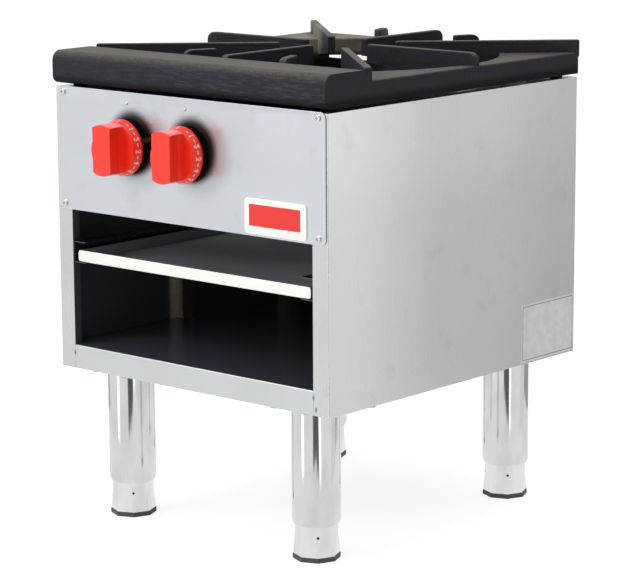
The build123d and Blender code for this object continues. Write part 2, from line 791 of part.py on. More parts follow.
with BuildPart() as cast_top:
    with BuildSketch(Plane.YZ.offset(-half_width)) as rail_profile:
        with BuildLine():
            Polyline(
                (casting_front, casting_bottom),
                (casting_front, casting_bottom + front_rail_height),
                (front_rail_rear, casting_bottom + front_rail_height),
                (front_rail_rear, casting_bottom),
                close=True,
            )
        make_face()
        fillet(rail_profile.vertices().group_by(Axis.Y)[0].sort_by(Axis.X)[0], rail_under_radius)
        fillet(rail_profile.vertices().group_by(Axis.Y)[-1].sort_by(Axis.X)[0], rail_nose_radius)
        fillet(rail_profile.vertices().group_by(Axis.Y)[-1].sort_by(Axis.X)[-1], rail_back_radius)
    extrude(amount=2 * half_width)
    slab(
        (-half_width, half_width),
        (front_rail_rear - rail_back_radius, casting_rear),
        (casting_bottom, side_rail_top),
    )
    with BuildSketch(Plane.XY.offset(casting_bottom)):
        with Locations((0, well_y)):
            Circle(well_radius)
    extrude(amount=side_rail_height, mode=Mode.SUBTRACT)
    upright_edges = cast_top.edges().filter_by(Axis.Z)
    fillet(upright_edges.filter_by(lambda e: e.center().Y > casting_rear - well_rear_wall / 2), casting_edge)
    rim = cast_top.edges().filter_by(lambda e: abs(e.center().Z - side_rail_top) < 0.1)
    rear_rim = rim.filter_by(Axis.X).sort_by(Axis.Y)[-1]
    fillet(rear_rim, casting_edge)
    rim = cast_top.edges().filter_by(lambda e: abs(e.center().Z - side_rail_top) < 0.1)
    fillet(rim.filter_by(GeomType.CIRCLE).filter_by(lambda e: e.radius > well_radius - 1.0), well_edge)
    add(casting_fingers.part)
    # The underside is hollow behind the front rail and in the four corners.
    rail_inside = (casting_front + rail_wall, front_rail_rear - casting_wall)
    slab(
        (-half_width + casting_wall, half_width - casting_wall),
        rail_inside,
        (casting_bottom, casting_bottom + front_rail_height - rail_wall),
        mode=Mode.SUBTRACT,
    )
    with BuildSketch(Plane.XY.offset(casting_bottom)):
        for side in (-1, 1):
            for low_y, high_y in (
                (front_rail_rear, well_y - well_radius / 2),
                (well_y + well_radius / 2, casting_rear - casting_wall),
            ):
                pocket_x = (half_width - casting_wall + well_radius / 2) / 2
                with Locations((side * pocket_x, (low_y + high_y) / 2)):
                    Rectangle(half_width - casting_wall - well_radius / 2, high_y - low_y)
        with Locations((0, well_y)):
            Circle(well_radius + casting_wall, mode=Mode.SUBTRACT)
    extrude(amount=side_rail_height - casting_wall, mode=Mode.SUBTRACT)
    slab(
        (-rear_vent_width / 2, rear_vent_width / 2),
        (well_y + well_radius / 2, casting_rear),
        (casting_bottom, casting_bottom + rear_vent_height),
        mode=Mode.SUBTRACT,
    )
    # Cast-on feet that stand on the cabinet's top flanges.
    for side in (-1, 1):
        for pad_y in (front + pad_inset_y, rear - pad_inset_y):
            pad = (side * (half_width - pad_inset_x), pad_y)
            rod((*pad, side_panel_top), (*pad, side_rail_top - casting_wall / 2), pad_radius)
cast_top.part.label = "cast_top"
export_step(cast_top.part, "parts/cast_top.step")

# ================================================================ burner bars, baffle and burners
for name, bar_y in (("front_burner_bar", front_bar_y), ("rear_burner_bar", rear_bar_y)):
    with BuildPart() as burner_bar:
        bar_span = (bar_y - burner_bar_width / 2, bar_y + burner_bar_width / 2)
        slab((-web_inside, web_inside), bar_span, (burner_bar_top - burner_bar_height, burner_bar_top))
        slab(
            (-web_inside, web_inside),
            (bar_span[0] + burner_bar_wall, bar_span[1] - burner_bar_wall),
            (burner_bar_top - burner_bar_height, burner_bar_top - burner_bar_wall),
            mode=Mode.SUBTRACT,
        )
    burner_bar.part.label = name
    export_step(burner_bar.part, f"parts/{name}.step")

baffle_y = front + baffle_setback
pilot_block_z = manifold_height + pipe_radius + pilot_neck
pilot_tube_z = pilot_block_z + pilot_block_height / 2
with BuildPart() as heat_baffle:
    baffle_plane = Plane(origin=(0, baffle_y + baffle_thickness, 0), x_dir=(1, 0, 0), z_dir=(0, -1, 0))
    with BuildSketch(baffle_plane):
        with Locations((0, (baffle_bottom + baffle_top) / 2)):
            Rectangle(2 * web_inside, baffle_top - baffle_bottom)
        with Locations(*[(axis_x, knob_height) for axis_x in knob_axes.values()]):
            Circle(mixer_radius + baffle_hole_gap, mode=Mode.SUBTRACT)
        with Locations((supply_x, manifold_height)):
            Circle(pipe_radius + baffle_hole_gap, mode=Mode.SUBTRACT)
        with Locations((window_x, pilot_tube_z)):
            Circle(pilot_tube_radius + baffle_hole_gap, mode=Mode.SUBTRACT)
        with Locations((window_x, window_z)):
            Rectangle(window_width, window_height, mode=Mode.SUBTRACT)
    extrude(amount=baffle_thickness)
    for side in (-1, 1):
        hem_x = sorted((side * (web_inside - baffle_thickness), side * web_inside))
        slab(hem_x, (baffle_y, baffle_y + baffle_hem), (baffle_bottom, baffle_top))
    slab(
        (-web_inside, web_inside),
        (baffle_y, baffle_y + baffle_hem),
        (baffle_top - baffle_thickness, baffle_top),
    )
heat_baffle.part.label = "heat_baffle"
export_step(heat_baffle.part, "parts/heat_baffle.step")


def mixer_tube(axis_x, end_y):
    """Adds a mixer tube from its mouth plate to the riser under the ring, with a saddle on the bar."""
    rod((axis_x, mixer_front, knob_height), (axis_x, end_y + mixer_radius, knob_height), mixer_radius)
    rod((axis_x, end_y, knob_height), (axis_x, end_y, burner_bottom + burner_merge), riser_radius)
    slab(
        (axis_x - burner_foot_radius, axis_x + burner_foot_radius),
        (front_bar_y - burner_bar_width / 2, front_bar_y + burner_bar_width / 2),
        (burner_bar_top, knob_height - mixer_radius / 2),
    )


def mixer_bores(axis_x, end_y):
    """Cuts the bore, the air holes in the mouth plate and the hole for the orifice hood."""
    rod(
        (axis_x, mixer_front + mouth_plate, knob_height),
        (axis_x, end_y, knob_height),
        mixer_bore,
        mode=Mode.SUBTRACT,
    )
    mouth = Plane(origin=(axis_x, mixer_front, knob_height), x_dir=(1, 0, 0), z_dir=(0, 1, 0))
    with BuildSketch(mouth) as holes:
        Circle(mouth_hole_radius)
        with PolarLocations(air_hole_circle, air_holes):
            Circle(air_hole_radius)
    extrude(holes.sketch, amount=mouth_plate, mode=Mode.SUBTRACT)


def ring_ports(circle, count):
    """Drills a ring of flame ports into the top of a burner."""
    with BuildSketch(Plane.XY.offset(burner_top)) as ports:
        with Locations((0, well_y)):
            with PolarLocations(circle, count):
                Circle(port_radius)
    extrude(ports.sketch, amount=-port_depth, mode=Mode.SUBTRACT)


outer_circle = (outer_ring_radius + outer_ring_bore) / 2
outer_joint_y = well_y - sqrt(max(outer_circle**2 - left_knob_x**2, 0)) - outer_joint_inset
with BuildPart() as outer_burner:
    rod((0, well_y, burner_bottom), (0, well_y, burner_top), outer_ring_radius, bore=outer_ring_bore)
    rims = outer_burner.edges().filter_by(GeomType.CIRCLE).group_by(Axis.Z)[-1]
    chamfer(rims, burner_chamfer)
    mixer_tube(knob_axes["left"], outer_joint_y)
    foot_offset = sqrt(outer_circle**2 - (burner_bar_spacing / 2) ** 2)
    for side in (-1, 1):
        for bar_y in (front_bar_y, rear_bar_y):
            rod(
                (side * foot_offset, bar_y, burner_bar_top),
                (side * foot_offset, bar_y, burner_bottom + burner_merge),
                burner_foot_radius,
            )
    mixer_bores(knob_axes["left"], outer_joint_y)
    ring_ports(outer_circle, outer_ports)
outer_burner.part.label = "outer_burner"
export_step(outer_burner.part, "parts/outer_burner.step")

inner_circle = (inner_ring_radius + inner_ring_bore) / 2
inner_joint_y = well_y - inner_circle
with BuildPart() as inner_burner:
    rod((0, well_y, burner_bottom), (0, well_y, burner_top), inner_ring_radius, bore=inner_ring_bore)
    rims = inner_burner.edges().filter_by(GeomType.CIRCLE).group_by(Axis.Z)[-1]
    chamfer(rims, burner_chamfer)
    mixer_tube(knob_axes["right"], inner_joint_y)
    arm_x = (-burner_foot_radius, burner_foot_radius)
    arm_z = (burner_bottom - ring_clearance - arm_height, burner_bottom - ring_clearance)
    lug_y = (well_y + inner_ring_bore + arm_lug_inset, well_y + inner_ring_radius - arm_lug_inset)
    slab(arm_x, (well_y + inner_ring_bore, rear_bar_y + burner_foot_radius), arm_z)
    slab(arm_x, lug_y, (arm_z[0], burner_bottom + burner_merge))
    foot_y = (rear_bar_y - burner_foot_radius, rear_bar_y + burner_foot_radius)
    slab(arm_x, foot_y, (burner_bar_top, arm_z[1]))
    mixer_bores(knob_axes["right"], inner_joint_y)
    ring_ports(inner_circle, inner_ports)
inner_burner.part.label = "inner_burner"
export_step(inner_burner.part, "parts/inner_burner.step")

# ================================================================ valves, hoods, shutters, knobs and stems
stem_front = knob_back - knob_socket_depth + knob_wall
for side, axis_x in knob_axes.items():
    with BuildPart() as gas_valve:
        rod((axis_x, valve_front, knob_height), (axis_x, valve_rear, knob_height), valve_radius)
        rod(
            (axis_x, valve_front, knob_height),
            (axis_x, valve_front + valve_bonnet_depth, knob_height),
            valve_bonnet_radius,
        )
        rod((axis_x, manifold_y, manifold_height), (axis_x, manifold_y, knob_height), valve_inlet_radius)
        pipe_clear = pipe_radius + pipe_clearance
        rod(
            (axis_x - 2 * pipe_radius, manifold_y, manifold_height),
            (axis_x + 2 * pipe_radius, manifold_y, manifold_height),
            pipe_clear,
            mode=Mode.SUBTRACT,
        )
        rod(
            (axis_x, valve_front, knob_height),
            (axis_x, valve_front + valve_socket, knob_height),
            stem_radius + stem_clearance,
            mode=Mode.SUBTRACT,
        )
    gas_valve.part.label = f"{side}_gas_valve"
    export_step(gas_valve.part, f"parts/{side}_gas_valve.step")

    with BuildPart() as knob_stem:
        rod(
            (axis_x, stem_front, knob_height),
            (axis_x, valve_front + valve_socket - stem_end_gap, knob_height),
            stem_radius,
        )
        flat_y = (stem_front, knob_back)
        slab(
            (axis_x - stem_radius, axis_x + stem_radius),
            flat_y,
            (knob_height + stem_radius - stem_flat, knob_height + stem_radius),
            mode=Mode.SUBTRACT,
        )
    knob_stem.part.label = f"{side}_knob_stem"
    export_step(knob_stem.part, f"parts/{side}_knob_stem.step")

    # The grip is a waisted bar with rounded ends; the plan view is drawn at the height of its axis.
    grip_face = skirt_face - grip_depth
    waist_y = skirt_face - grip_foot_depth
    grip_plane = Plane(origin=(axis_x, grip_face, knob_height), x_dir=(1, 0, 0), z_dir=(0, -1, 0))
    with BuildPart() as knob_grip:
        with BuildSketch(Plane.XY.offset(knob_height)):
            with BuildLine():
                Polyline(
                    (axis_x - grip_half_width, grip_face),
                    (axis_x + grip_half_width, grip_face),
                    (axis_x + grip_waist, waist_y),
                    (axis_x + grip_foot_half_width, skirt_face + grip_merge),
                    (axis_x - grip_foot_half_width, skirt_face + grip_merge),
                    (axis_x - grip_waist, waist_y),
                    close=True,
                )
            make_face()
        extrude(amount=grip_radius, both=True)
        with BuildSketch(grip_plane):
            with BuildLine():
                ThreePointArc(
                    (-grip_waist, -grip_swell_half_height),
                    (-grip_half_width - grip_swell, 0),
                    (-grip_waist, grip_swell_half_height),
                )
                Line((-grip_waist, grip_swell_half_height), (-grip_waist, -grip_swell_half_height))
            make_face()
        extrude(amount=-(grip_depth - grip_foot_depth))
        with BuildSketch(grip_plane):
            Circle(grip_radius)
        extrude(amount=-2 * grip_depth, mode=Mode.INTERSECT)

    hub_plane = Plane(origin=(axis_x, knob_back, knob_height), x_dir=(1, 0, 0), z_dir=(0, -1, 0))
    with BuildPart() as knob:
        with BuildSketch(Plane.YZ.offset(axis_x)):
            with BuildLine():
                Polyline(
                    (knob_back, knob_height),
                    (knob_back, knob_height + skirt_radius),
                    (knob_back - skirt_edge, knob_height + skirt_radius),
                    (skirt_face, knob_height + skirt_front_radius),
                    (skirt_face, knob_height),
                    close=True,
                )
            make_face()
        revolve(axis=Axis((axis_x, 0, knob_height), (0, 1, 0)))
        add(knob_grip.part)
        fillet(knob.faces().sort_by(Axis.Y)[0].outer_wire().edges(), grip_edge)
        with BuildSketch(hub_plane):
            Circle(skirt_front_radius - knob_wall)
            Circle(knob_hub_radius, mode=Mode.SUBTRACT)
        extrude(amount=skirt_depth - knob_wall, mode=Mode.SUBTRACT)
        with BuildSketch(hub_plane):
            Circle(stem_radius + stem_clearance)
            with Locations((0, stem_radius + stem_clearance)):
                Rectangle(4 * stem_radius, 2 * stem_flat, mode=Mode.SUBTRACT)
        extrude(amount=knob_socket_depth - knob_wall + socket_end_gap, mode=Mode.SUBTRACT)
    knob.part.label = f"{side}_knob"
    export_step(knob.part, f"parts/{side}_knob.step")

    shutter_plane = Plane(origin=(axis_x, shutter_face, knob_height), x_dir=(1, 0, 0), z_dir=(0, 1, 0))
    with BuildPart() as air_shutter:
        with BuildSketch(shutter_plane):
            Circle(shutter_radius)
            with Locations((0, shutter_radius)):
                Rectangle(shutter_tab, shutter_tab)
            Circle(hood_nose_radius + stem_clearance, mode=Mode.SUBTRACT)
            with PolarLocations(air_hole_circle, air_holes):
                Circle(air_hole_radius, mode=Mode.SUBTRACT)
        extrude(amount=shutter_thickness)
    air_shutter.part.label = f"{side}_air_shutter"
    export_step(air_shutter.part, f"parts/{side}_air_shutter.step")

# Brass orifice hoods screwed into the backs of the valves.
with BuildPart() as orifice_hoods:
    for axis_x in knob_axes.values():
        hood_plane = Plane(origin=(axis_x, valve_rear, knob_height), x_dir=(1, 0, 0), z_dir=(0, 1, 0))
        with BuildSketch(hood_plane):
            RegularPolygon(hood_hex_radius, 6)
        extrude(amount=hood_hex_length)
        rod(
            (axis_x, hood_shoulder, knob_height),
            (axis_x, hood_shoulder + hood_nose_length, knob_height),
            hood_nose_radius,
        )
        rod(
            (axis_x, valve_rear, knob_height),
            (axis_x, hood_shoulder + hood_nose_length, knob_height),
            orifice_radius,
            mode=Mode.SUBTRACT,
        )
orifice_hoods.part.label = "orifice_hoods"
export_step(orifice_hoods.part, "parts/orifice_hoods.step")

# ================================================================ manifold and supply pipe
elbow_start = supply_x - elbow_bend
with BuildPart() as manifold_pipe:
    rod(
        (manifold_left_end, manifold_y, manifold_height),
        (elbow_start, manifold_y, manifold_height),
        pipe_radius,
        bore=pipe_bore,
    )
manifold_pipe.part.label = "manifold_pipe"
export_step(manifold_pipe.part, "parts/manifold_pipe.step")

with BuildPart() as manifold_plug:
    with BuildSketch(Plane.YZ.offset(manifold_left_end - plug_length / 2)):
        with Locations((manifold_y, manifold_height)):
            RegularPolygon(plug_radius, 6)
    extrude(amount=plug_length / 2)
    with BuildSketch(Plane.YZ.offset(manifold_left_end)):
        with Locations((manifold_y, manifold_height)):
            Circle(plug_radius)
            Circle(pipe_radius + pipe_clearance, mode=Mode.SUBTRACT)
    extrude(amount=plug_length)
manifold_plug.part.label = "manifold_plug"
export_step(manifold_plug.part, "parts/manifold_plug.step")

with BuildPart() as manifold_elbow:
    with BuildSketch(Plane.YZ.offset(elbow_start)):
        with Locations((manifold_y, manifold_height)):
            Circle(elbow_radius)
            Circle(pipe_bore, mode=Mode.SUBTRACT)
    revolve(axis=Axis((elbow_start, supply_front, 0), (0, 0, 1)), revolution_arc=90)
    collar_bore = pipe_radius + pipe_clearance
    rod(
        (elbow_start - elbow_collar, manifold_y, manifold_height),
        (elbow_start, manifold_y, manifold_height),
        elbow_collar_radius,
        bore=collar_bore,
    )
    rod(
        (supply_x, supply_front, manifold_height),
        (supply_x, supply_front + elbow_collar, manifold_height),
        elbow_collar_radius,
        bore=collar_bore,
    )
manifold_elbow.part.label = "manifold_elbow"
export_step(manifold_elbow.part, "parts/manifold_elbow.step")

with BuildPart() as supply_pipe:
    rod(
        (supply_x, supply_front, manifold_height),
        (supply_x, pipe_meeting, manifold_height),
        pipe_radius,
        bore=pipe_bore,
    )
supply_pipe.part.label = "supply_pipe"
export_step(supply_pipe.part, "parts/supply_pipe.step")

with BuildPart() as inlet_coupling:
    rod(
        (supply_x, coupling_rear - coupling_length, manifold_height),
        (supply_x, coupling_rear, manifold_height),
        coupling_radius,
        bore=pipe_radius + pipe_clearance,
    )
inlet_coupling.part.label = "inlet_coupling"
export_step(inlet_coupling.part, "parts/inlet_coupling.step")

with BuildPart() as gas_inlet_nipple:
    inlet_end = rear + inlet_projection
    thread_start = inlet_end - thread_length
    rod(
        (supply_x, pipe_meeting, manifold_height),
        (supply_x, thread_start, manifold_height),
        pipe_radius,
        bore=pipe_bore,
    )
    with BuildSketch(Plane(origin=(supply_x, thread_start, manifold_height), z_dir=(0, 1, 0))):
        RegularPolygon(inlet_hex_radius, 6)
        Circle(pipe_bore, mode=Mode.SUBTRACT)
    extrude(amount=-inlet_hex_length)
    rod(
        (supply_x, thread_start, manifold_height),
        (supply_x, inlet_end, manifold_height),
        thread_radius,
        bore=pipe_bore,
    )
    chamfer(gas_inlet_nipple.faces().sort_by(Axis.Y)[-1].outer_wire().edges(), thread_chamfer)
gas_inlet_nipple.part.label = "gas_inlet_nipple"
export_step(gas_inlet_nipple.part, "parts/gas_inlet_nipple.step")

with BuildPart() as manifold_brackets:
    for bracket_x in bracket_places:
        slab(
            (bracket_x - bracket_width / 2, bracket_x + bracket_width / 2),
            (bracket_face, bracket_face + bracket_thickness),
            (manifold_height - pipe_radius - clamp_ear, cabinet_top - sheet),
        )
manifold_brackets.part.label = "manifold_brackets"
export_step(manifold_brackets.part, "parts/manifold_brackets.step")

clamp_inside = pipe_radius + pipe_clearance
clamp_outside = clamp_inside + clamp_thickness
with BuildPart() as manifold_clamps:
    for bracket_x in bracket_places:
        with BuildSketch(Plane.YZ.offset(bracket_x - clamp_width / 2)):
            with Locations((manifold_y, manifold_height)):
                Circle(clamp_outside)
            with Locations((manifold_y + clamp_inside / 2, manifold_height)):
                Rectangle(clamp_inside, 2 * clamp_outside)
            with Locations((bracket_face - clamp_thickness / 2, manifold_height)):
                Rectangle(clamp_thickness, 2 * (clamp_outside + clamp_ear))
            with Locations((manifold_y, manifold_height)):
                Circle(clamp_inside, mode=Mode.SUBTRACT)
            with Locations((manifold_y + clamp_inside / 2, manifold_height)):
                Rectangle(clamp_inside, 2 * clamp_inside, mode=Mode.SUBTRACT)
            with Locations((bracket_face + clamp_outside, manifold_height)):
                Rectangle(2 * clamp_outside, 4 * clamp_outside, mode=Mode.SUBTRACT)
        extrude(amount=clamp_width)
manifold_clamps.part.label = "manifold_clamps"
export_step(manifold_clamps.part, "parts/manifold_clamps.step")

# ================================================================ pilot
pilot_y = well_y - sqrt(outer_ring_radius**2 - window_x**2) - pilot_gap - pilot_burner_radius
strap_top = burner_bottom - pilot_strap_drop
with BuildPart() as pilot_valve:
    block_half = pilot_block / 2
    slab(
        (window_x - block_half, window_x + block_half),
        (manifold_y - block_half, manifold_y + block_half),
        (pilot_block_z, pilot_block_z + pilot_block_height),
    )
    rod((window_x, manifold_y, manifold_height), (window_x, manifold_y, pilot_block_z), pilot_neck_radius)
    rod(
        (window_x - pipe_radius, manifold_y, manifold_height),
        (window_x + pipe_radius, manifold_y, manifold_height),
        pipe_radius + pipe_clearance,
        mode=Mode.SUBTRACT,
    )
pilot_valve.part.label = "pilot_valve"
export_step(pilot_valve.part, "parts/pilot_valve.step")

tube_start = (window_x, manifold_y + pilot_block / 2, pilot_tube_z)
with BuildPart() as pilot_tube:
    with BuildLine():
        FilletPolyline(
            tube_start,
            (window_x, pilot_y, pilot_tube_z),
            (window_x, pilot_y, strap_top),
            radius=pilot_tube_bend,
        )
    with BuildSketch(Plane(origin=tube_start, z_dir=(0, 1, 0))):
        Circle(pilot_tube_radius)
    sweep()
pilot_tube.part.label = "pilot_tube"
export_step(pilot_tube.part, "parts/pilot_tube.step")

with BuildPart() as pilot_bracket:
    strap_x = (window_x - pilot_strap_width / 2, window_x + pilot_strap_width / 2)
    bar_front = front_bar_y - burner_bar_width / 2
    slab(strap_x, (bar_front - pilot_strap, bar_front), (burner_bar_top - burner_bar_height, strap_top))
    slab(strap_x, (pilot_y - pilot_strap_width / 2, bar_front), (strap_top - pilot_strap, strap_top))
    rod(
        (window_x, pilot_y, strap_top - pilot_strap),
        (window_x, pilot_y, strap_top),
        pilot_tube_radius + pipe_clearance,
        mode=Mode.SUBTRACT,
    )
pilot_bracket.part.label = "pilot_bracket"
export_step(pilot_bracket.part, "parts/pilot_bracket.step")

with BuildPart() as pilot_burner:
    rod(
        (window_x, pilot_y, strap_top),
        (window_x, pilot_y, strap_top + pilot_burner_height),
        pilot_burner_radius,
    )
    rod(
        (window_x, pilot_y, strap_top + pilot_burner_height - pilot_hood_depth),
        (window_x, pilot_y, strap_top + pilot_burner_height),
        pilot_burner_radius - pilot_hood_wall,
        mode=Mode.SUBTRACT,
    )
pilot_burner.part.label = "pilot_burner"
export_step(pilot_burner.part, "parts/pilot_burner.step")

# ================================================================ legs, feet and their fixings
for row, leg_y in leg_rows.items():
    for side, sign in outward.items():
        foot_x = sign * leg_x
        end = endward[row]
        with BuildPart() as leg:
            inside = leg_radius - leg_wall
            end_radius = foot_radius + foot_clearance
            with BuildSketch(Plane.XZ.offset(-leg_y)):
                with BuildLine():
                    Polyline(
                        (foot_x + end_radius, leg_bottom),
                        (foot_x + end_radius + leg_wall, leg_bottom),
                        (foot_x + leg_radius, leg_bottom + leg_swage),
                        (foot_x + leg_radius, leg_top),
                        (foot_x + inside, leg_top),
                        (foot_x + inside, leg_bottom + 2 * leg_swage),
                        (foot_x + end_radius, leg_bottom + leg_swage),
                        close=True,
                    )
                make_face()
            revolve(axis=Axis((foot_x, leg_y, 0), (0, 0, 1)))
            plate_z = (leg_top, leg_top + leg_plate)
            inner_x = sorted((foot_x - sign * leg_plate_inner, sign * (runner_web - seam)))
            outer_x = sorted((foot_x, foot_x + sign * leg_plate_outer))
            long_y = sorted((leg_y + end * leg_plate_front, leg_y - end * leg_plate_rear))
            short_end = leg_inset_y - stile_return - leg_plate_gap
            short_y = sorted((leg_y + end * short_end, leg_y - end * leg_plate_rear))
            slab(inner_x, long_y, plate_z)
            slab(outer_x, short_y, plate_z)
            for out, along in leg_bolt_offsets:
                bolt = (foot_x + sign * out, leg_y + end * along)
                hole = bolt_radius + bolt_hole_gap
                rod((*bolt, plate_z[0]), (*bolt, plate_z[1]), hole, mode=Mode.SUBTRACT)
        leg.part.label = f"{row}_{side}_leg"
        export_step(leg.part, f"parts/{row}_{side}_leg.step")

        with BuildPart() as foot:
            rod((foot_x, leg_y, foot_pad_thickness), (foot_x, leg_y, foot_top), foot_radius)
            with BuildSketch(Plane.XY.offset(foot_pad_thickness)):
                with Locations((foot_x, leg_y)):
                    RegularPolygon(foot_flare_radius, foot_sides)
            with BuildSketch(Plane.XY.offset(foot_pad_thickness + foot_flare_height)):
                with Locations((foot_x, leg_y)):
                    RegularPolygon(foot_radius, foot_sides)
            loft()
            rod(
                (foot_x, leg_y, foot_pad_thickness),
                (foot_x, leg_y, foot_top - foot_wall),
                foot_radius - foot_wall,
                mode=Mode.SUBTRACT,
            )
            rod((foot_x, leg_y, foot_top - foot_wall), (foot_x, leg_y, screw_rod_top), screw_rod_radius)
            spanner_z = foot_pad_thickness + foot_flare_height - foot_hole_radius
            start = (foot_x, leg_y, spanner_z)
            reach = 2 * foot_radius
            for step in range(foot_holes):
                turn = radians(360 / foot_holes * (step + 0.5))
                end_point = (foot_x + reach * cos(turn), leg_y + reach * sin(turn), spanner_z)
                rod(start, end_point, foot_hole_radius, mode=Mode.SUBTRACT)
        foot.part.label = f"{row}_{side}_foot"
        export_step(foot.part, f"parts/{row}_{side}_foot.step")

        with BuildPart() as foot_pad:
            with BuildSketch():
                with Locations((foot_x, leg_y)):
                    RegularPolygon(foot_pad_radius, foot_sides)
            extrude(amount=foot_pad_thickness)
        foot_pad.part.label = f"{row}_{side}_foot_pad"
        export_step(foot_pad.part, f"parts/{row}_{side}_foot_pad.step")

# Threaded plates inside the legs that the feet screw into.
with BuildPart() as leg_nut_plates:
    for leg_y in leg_rows.values():
        for sign in outward.values():
            rod(
                (sign * leg_x, leg_y, nut_plate_height),
                (sign * leg_x, leg_y, nut_plate_height + nut_plate_thickness),
                leg_radius - leg_wall - stem_clearance,
                bore=screw_rod_radius + stem_clearance,
            )
leg_nut_plates.part.label = "leg_nut_plates"
export_step(leg_nut_plates.part, "parts/leg_nut_plates.step")

# Bolts and nuts that hold the leg plates to the cabinet's bottom flanges.
with BuildPart() as leg_bolts:
    for row, leg_y in leg_rows.items():
        for sign in outward.values():
            for out, along in leg_bolt_offsets:
                bolt_x = sign * (leg_x + out)
                bolt_y = leg_y + endward[row] * along
                nut_base = leg_top + leg_plate
                head_base = floor_clearance - bolt_head_height
                for base_z, height in ((head_base, bolt_head_height), (nut_base, nut_height)):
                    with BuildSketch(Plane.XY.offset(base_z)):
                        with Locations((bolt_x, bolt_y)):
                            RegularPolygon(bolt_head_radius, 6)
                    extrude(amount=height)
                rod((bolt_x, bolt_y, floor_clearance), (bolt_x, bolt_y, nut_base), bolt_radius)
leg_bolts.part.label = "leg_bolts"
export_step(leg_bolts.part, "parts/leg_bolts.step")
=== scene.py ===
"""Studio picture of a gas stock pot range: finishes for every CAD node, and its finest pieces.

The CAD frame gives every size and place. This script adds the dial marks of the knobs and the weld beads
of the cabinet, gives each surface its finish, and sets the floor, lights and camera. All lengths are in
metres.
"""

from __future__ import annotations

import json
import logging
import math
from dataclasses import dataclass, replace
from enum import Enum, IntEnum
from typing import Callable, Iterable, Sequence

import bpy
import numpy as np
from mathutils import Matrix, Vector

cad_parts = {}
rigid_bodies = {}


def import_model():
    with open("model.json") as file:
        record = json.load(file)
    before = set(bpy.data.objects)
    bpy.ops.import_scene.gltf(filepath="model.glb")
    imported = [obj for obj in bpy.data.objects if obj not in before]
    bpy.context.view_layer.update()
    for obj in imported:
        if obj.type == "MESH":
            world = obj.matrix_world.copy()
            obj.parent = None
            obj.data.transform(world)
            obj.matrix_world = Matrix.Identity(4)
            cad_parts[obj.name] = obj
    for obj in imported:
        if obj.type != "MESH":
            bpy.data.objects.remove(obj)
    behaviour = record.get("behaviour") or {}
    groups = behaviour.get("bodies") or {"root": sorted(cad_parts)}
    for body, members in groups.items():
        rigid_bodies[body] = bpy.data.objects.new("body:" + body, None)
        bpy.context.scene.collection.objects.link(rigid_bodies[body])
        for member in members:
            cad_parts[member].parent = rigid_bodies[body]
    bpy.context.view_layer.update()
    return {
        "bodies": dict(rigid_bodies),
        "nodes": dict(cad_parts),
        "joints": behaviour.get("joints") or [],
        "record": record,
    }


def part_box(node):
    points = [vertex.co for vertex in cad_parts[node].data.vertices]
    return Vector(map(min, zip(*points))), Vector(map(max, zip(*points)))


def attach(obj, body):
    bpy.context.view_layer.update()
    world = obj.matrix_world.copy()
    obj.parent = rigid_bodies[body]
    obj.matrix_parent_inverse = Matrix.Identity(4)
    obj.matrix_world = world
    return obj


LOG = logging.getLogger("stock_pot_range")
Colour = tuple[float, float, float]
Point = tuple[float, float, float]
Spot = tuple[float, float]
Stroke = tuple[Spot, ...]
Patch = tuple[np.ndarray, np.ndarray]
Points = tuple[np.ndarray, np.ndarray, np.ndarray]
Inputs = dict[str, "Signal | Colour | float"]


class Axis(IntEnum):
    """The frame's axes, as places in a point."""

    X = 0
    Y = 1
    Z = 2


def linear(red: int, green: int, blue: int) -> Colour:
    """Turns a display colour into the linear light that shaders work in.

    Args:
        red, green, blue: The display colour, each from 0 to 255.

    Returns:
        The three linear values, from 0 to 1.
    """
    return tuple(
        share / 12.92 if share <= 0.04045 else ((share + 0.055) / 1.055) ** 2.4
        for share in (channel / 255 for channel in (red, green, blue))
    )


# ---- shader building


@dataclass(frozen=True)
class Pattern:
    """Cloudy noise.

    Attributes:
        per_metre: How many blotches there are per metre along X, Y and Z.
        detail: How many finer layers of noise lie on the first.
        shift: Moves the pattern, so that two layers differ.
        window: The noise values between which the blotches go from absent to full.
    """

    per_metre: Point
    detail: float
    shift: float = 0.0
    window: Spot = (0.3, 0.7)


def even(value: float) -> Point:
    """Returns the same value for all three axes."""
    return (value, value, value)


SHEET_CLOUDS = Pattern(even(7.0), 2.0, 7.7)
SHEET_SMUDGES = Pattern(even(26.0), 5.0, 2.9, window=(0.56, 0.78))
TUBE_DRAW_LINES = Pattern((700.0, 700.0, 8.0), 2.0)
TUBE_SMEARS = Pattern((40.0, 40.0, 18.0), 3.0, 2.3, window=(0.35, 0.75))
IRON_GRIT = Pattern(even(520.0), 5.0, window=(0.36, 0.64))
IRON_LUMPS = Pattern(even(110.0), 3.0, 5.3)
IRON_PATCHES = Pattern((11.0, 22.0, 22.0), 4.0, 1.7, window=(0.2, 0.6))
IRON_RUBBING = Pattern((30.0, 170.0, 170.0), 3.0, 8.8)
IRON_STROKES = Pattern((55.0, 420.0, 420.0), 4.0, 3.3, window=(0.46, 0.70))
PLASTIC_PEEL = Pattern(even(900.0), 2.0)
PLASTIC_HANDLING = Pattern(even(48.0), 3.0, 4.4, window=(0.35, 0.75))
METAL_SPOTS = Pattern(even(260.0), 4.0)
METAL_DRIFT = Pattern(even(30.0), 2.0, 6.1)
FOIL_CRINKLE = Pattern(even(70.0), 2.0)
BLACK: Colour = (0.0, 0.0, 0.0)
WHITE: Colour = (1.0, 1.0, 1.0)


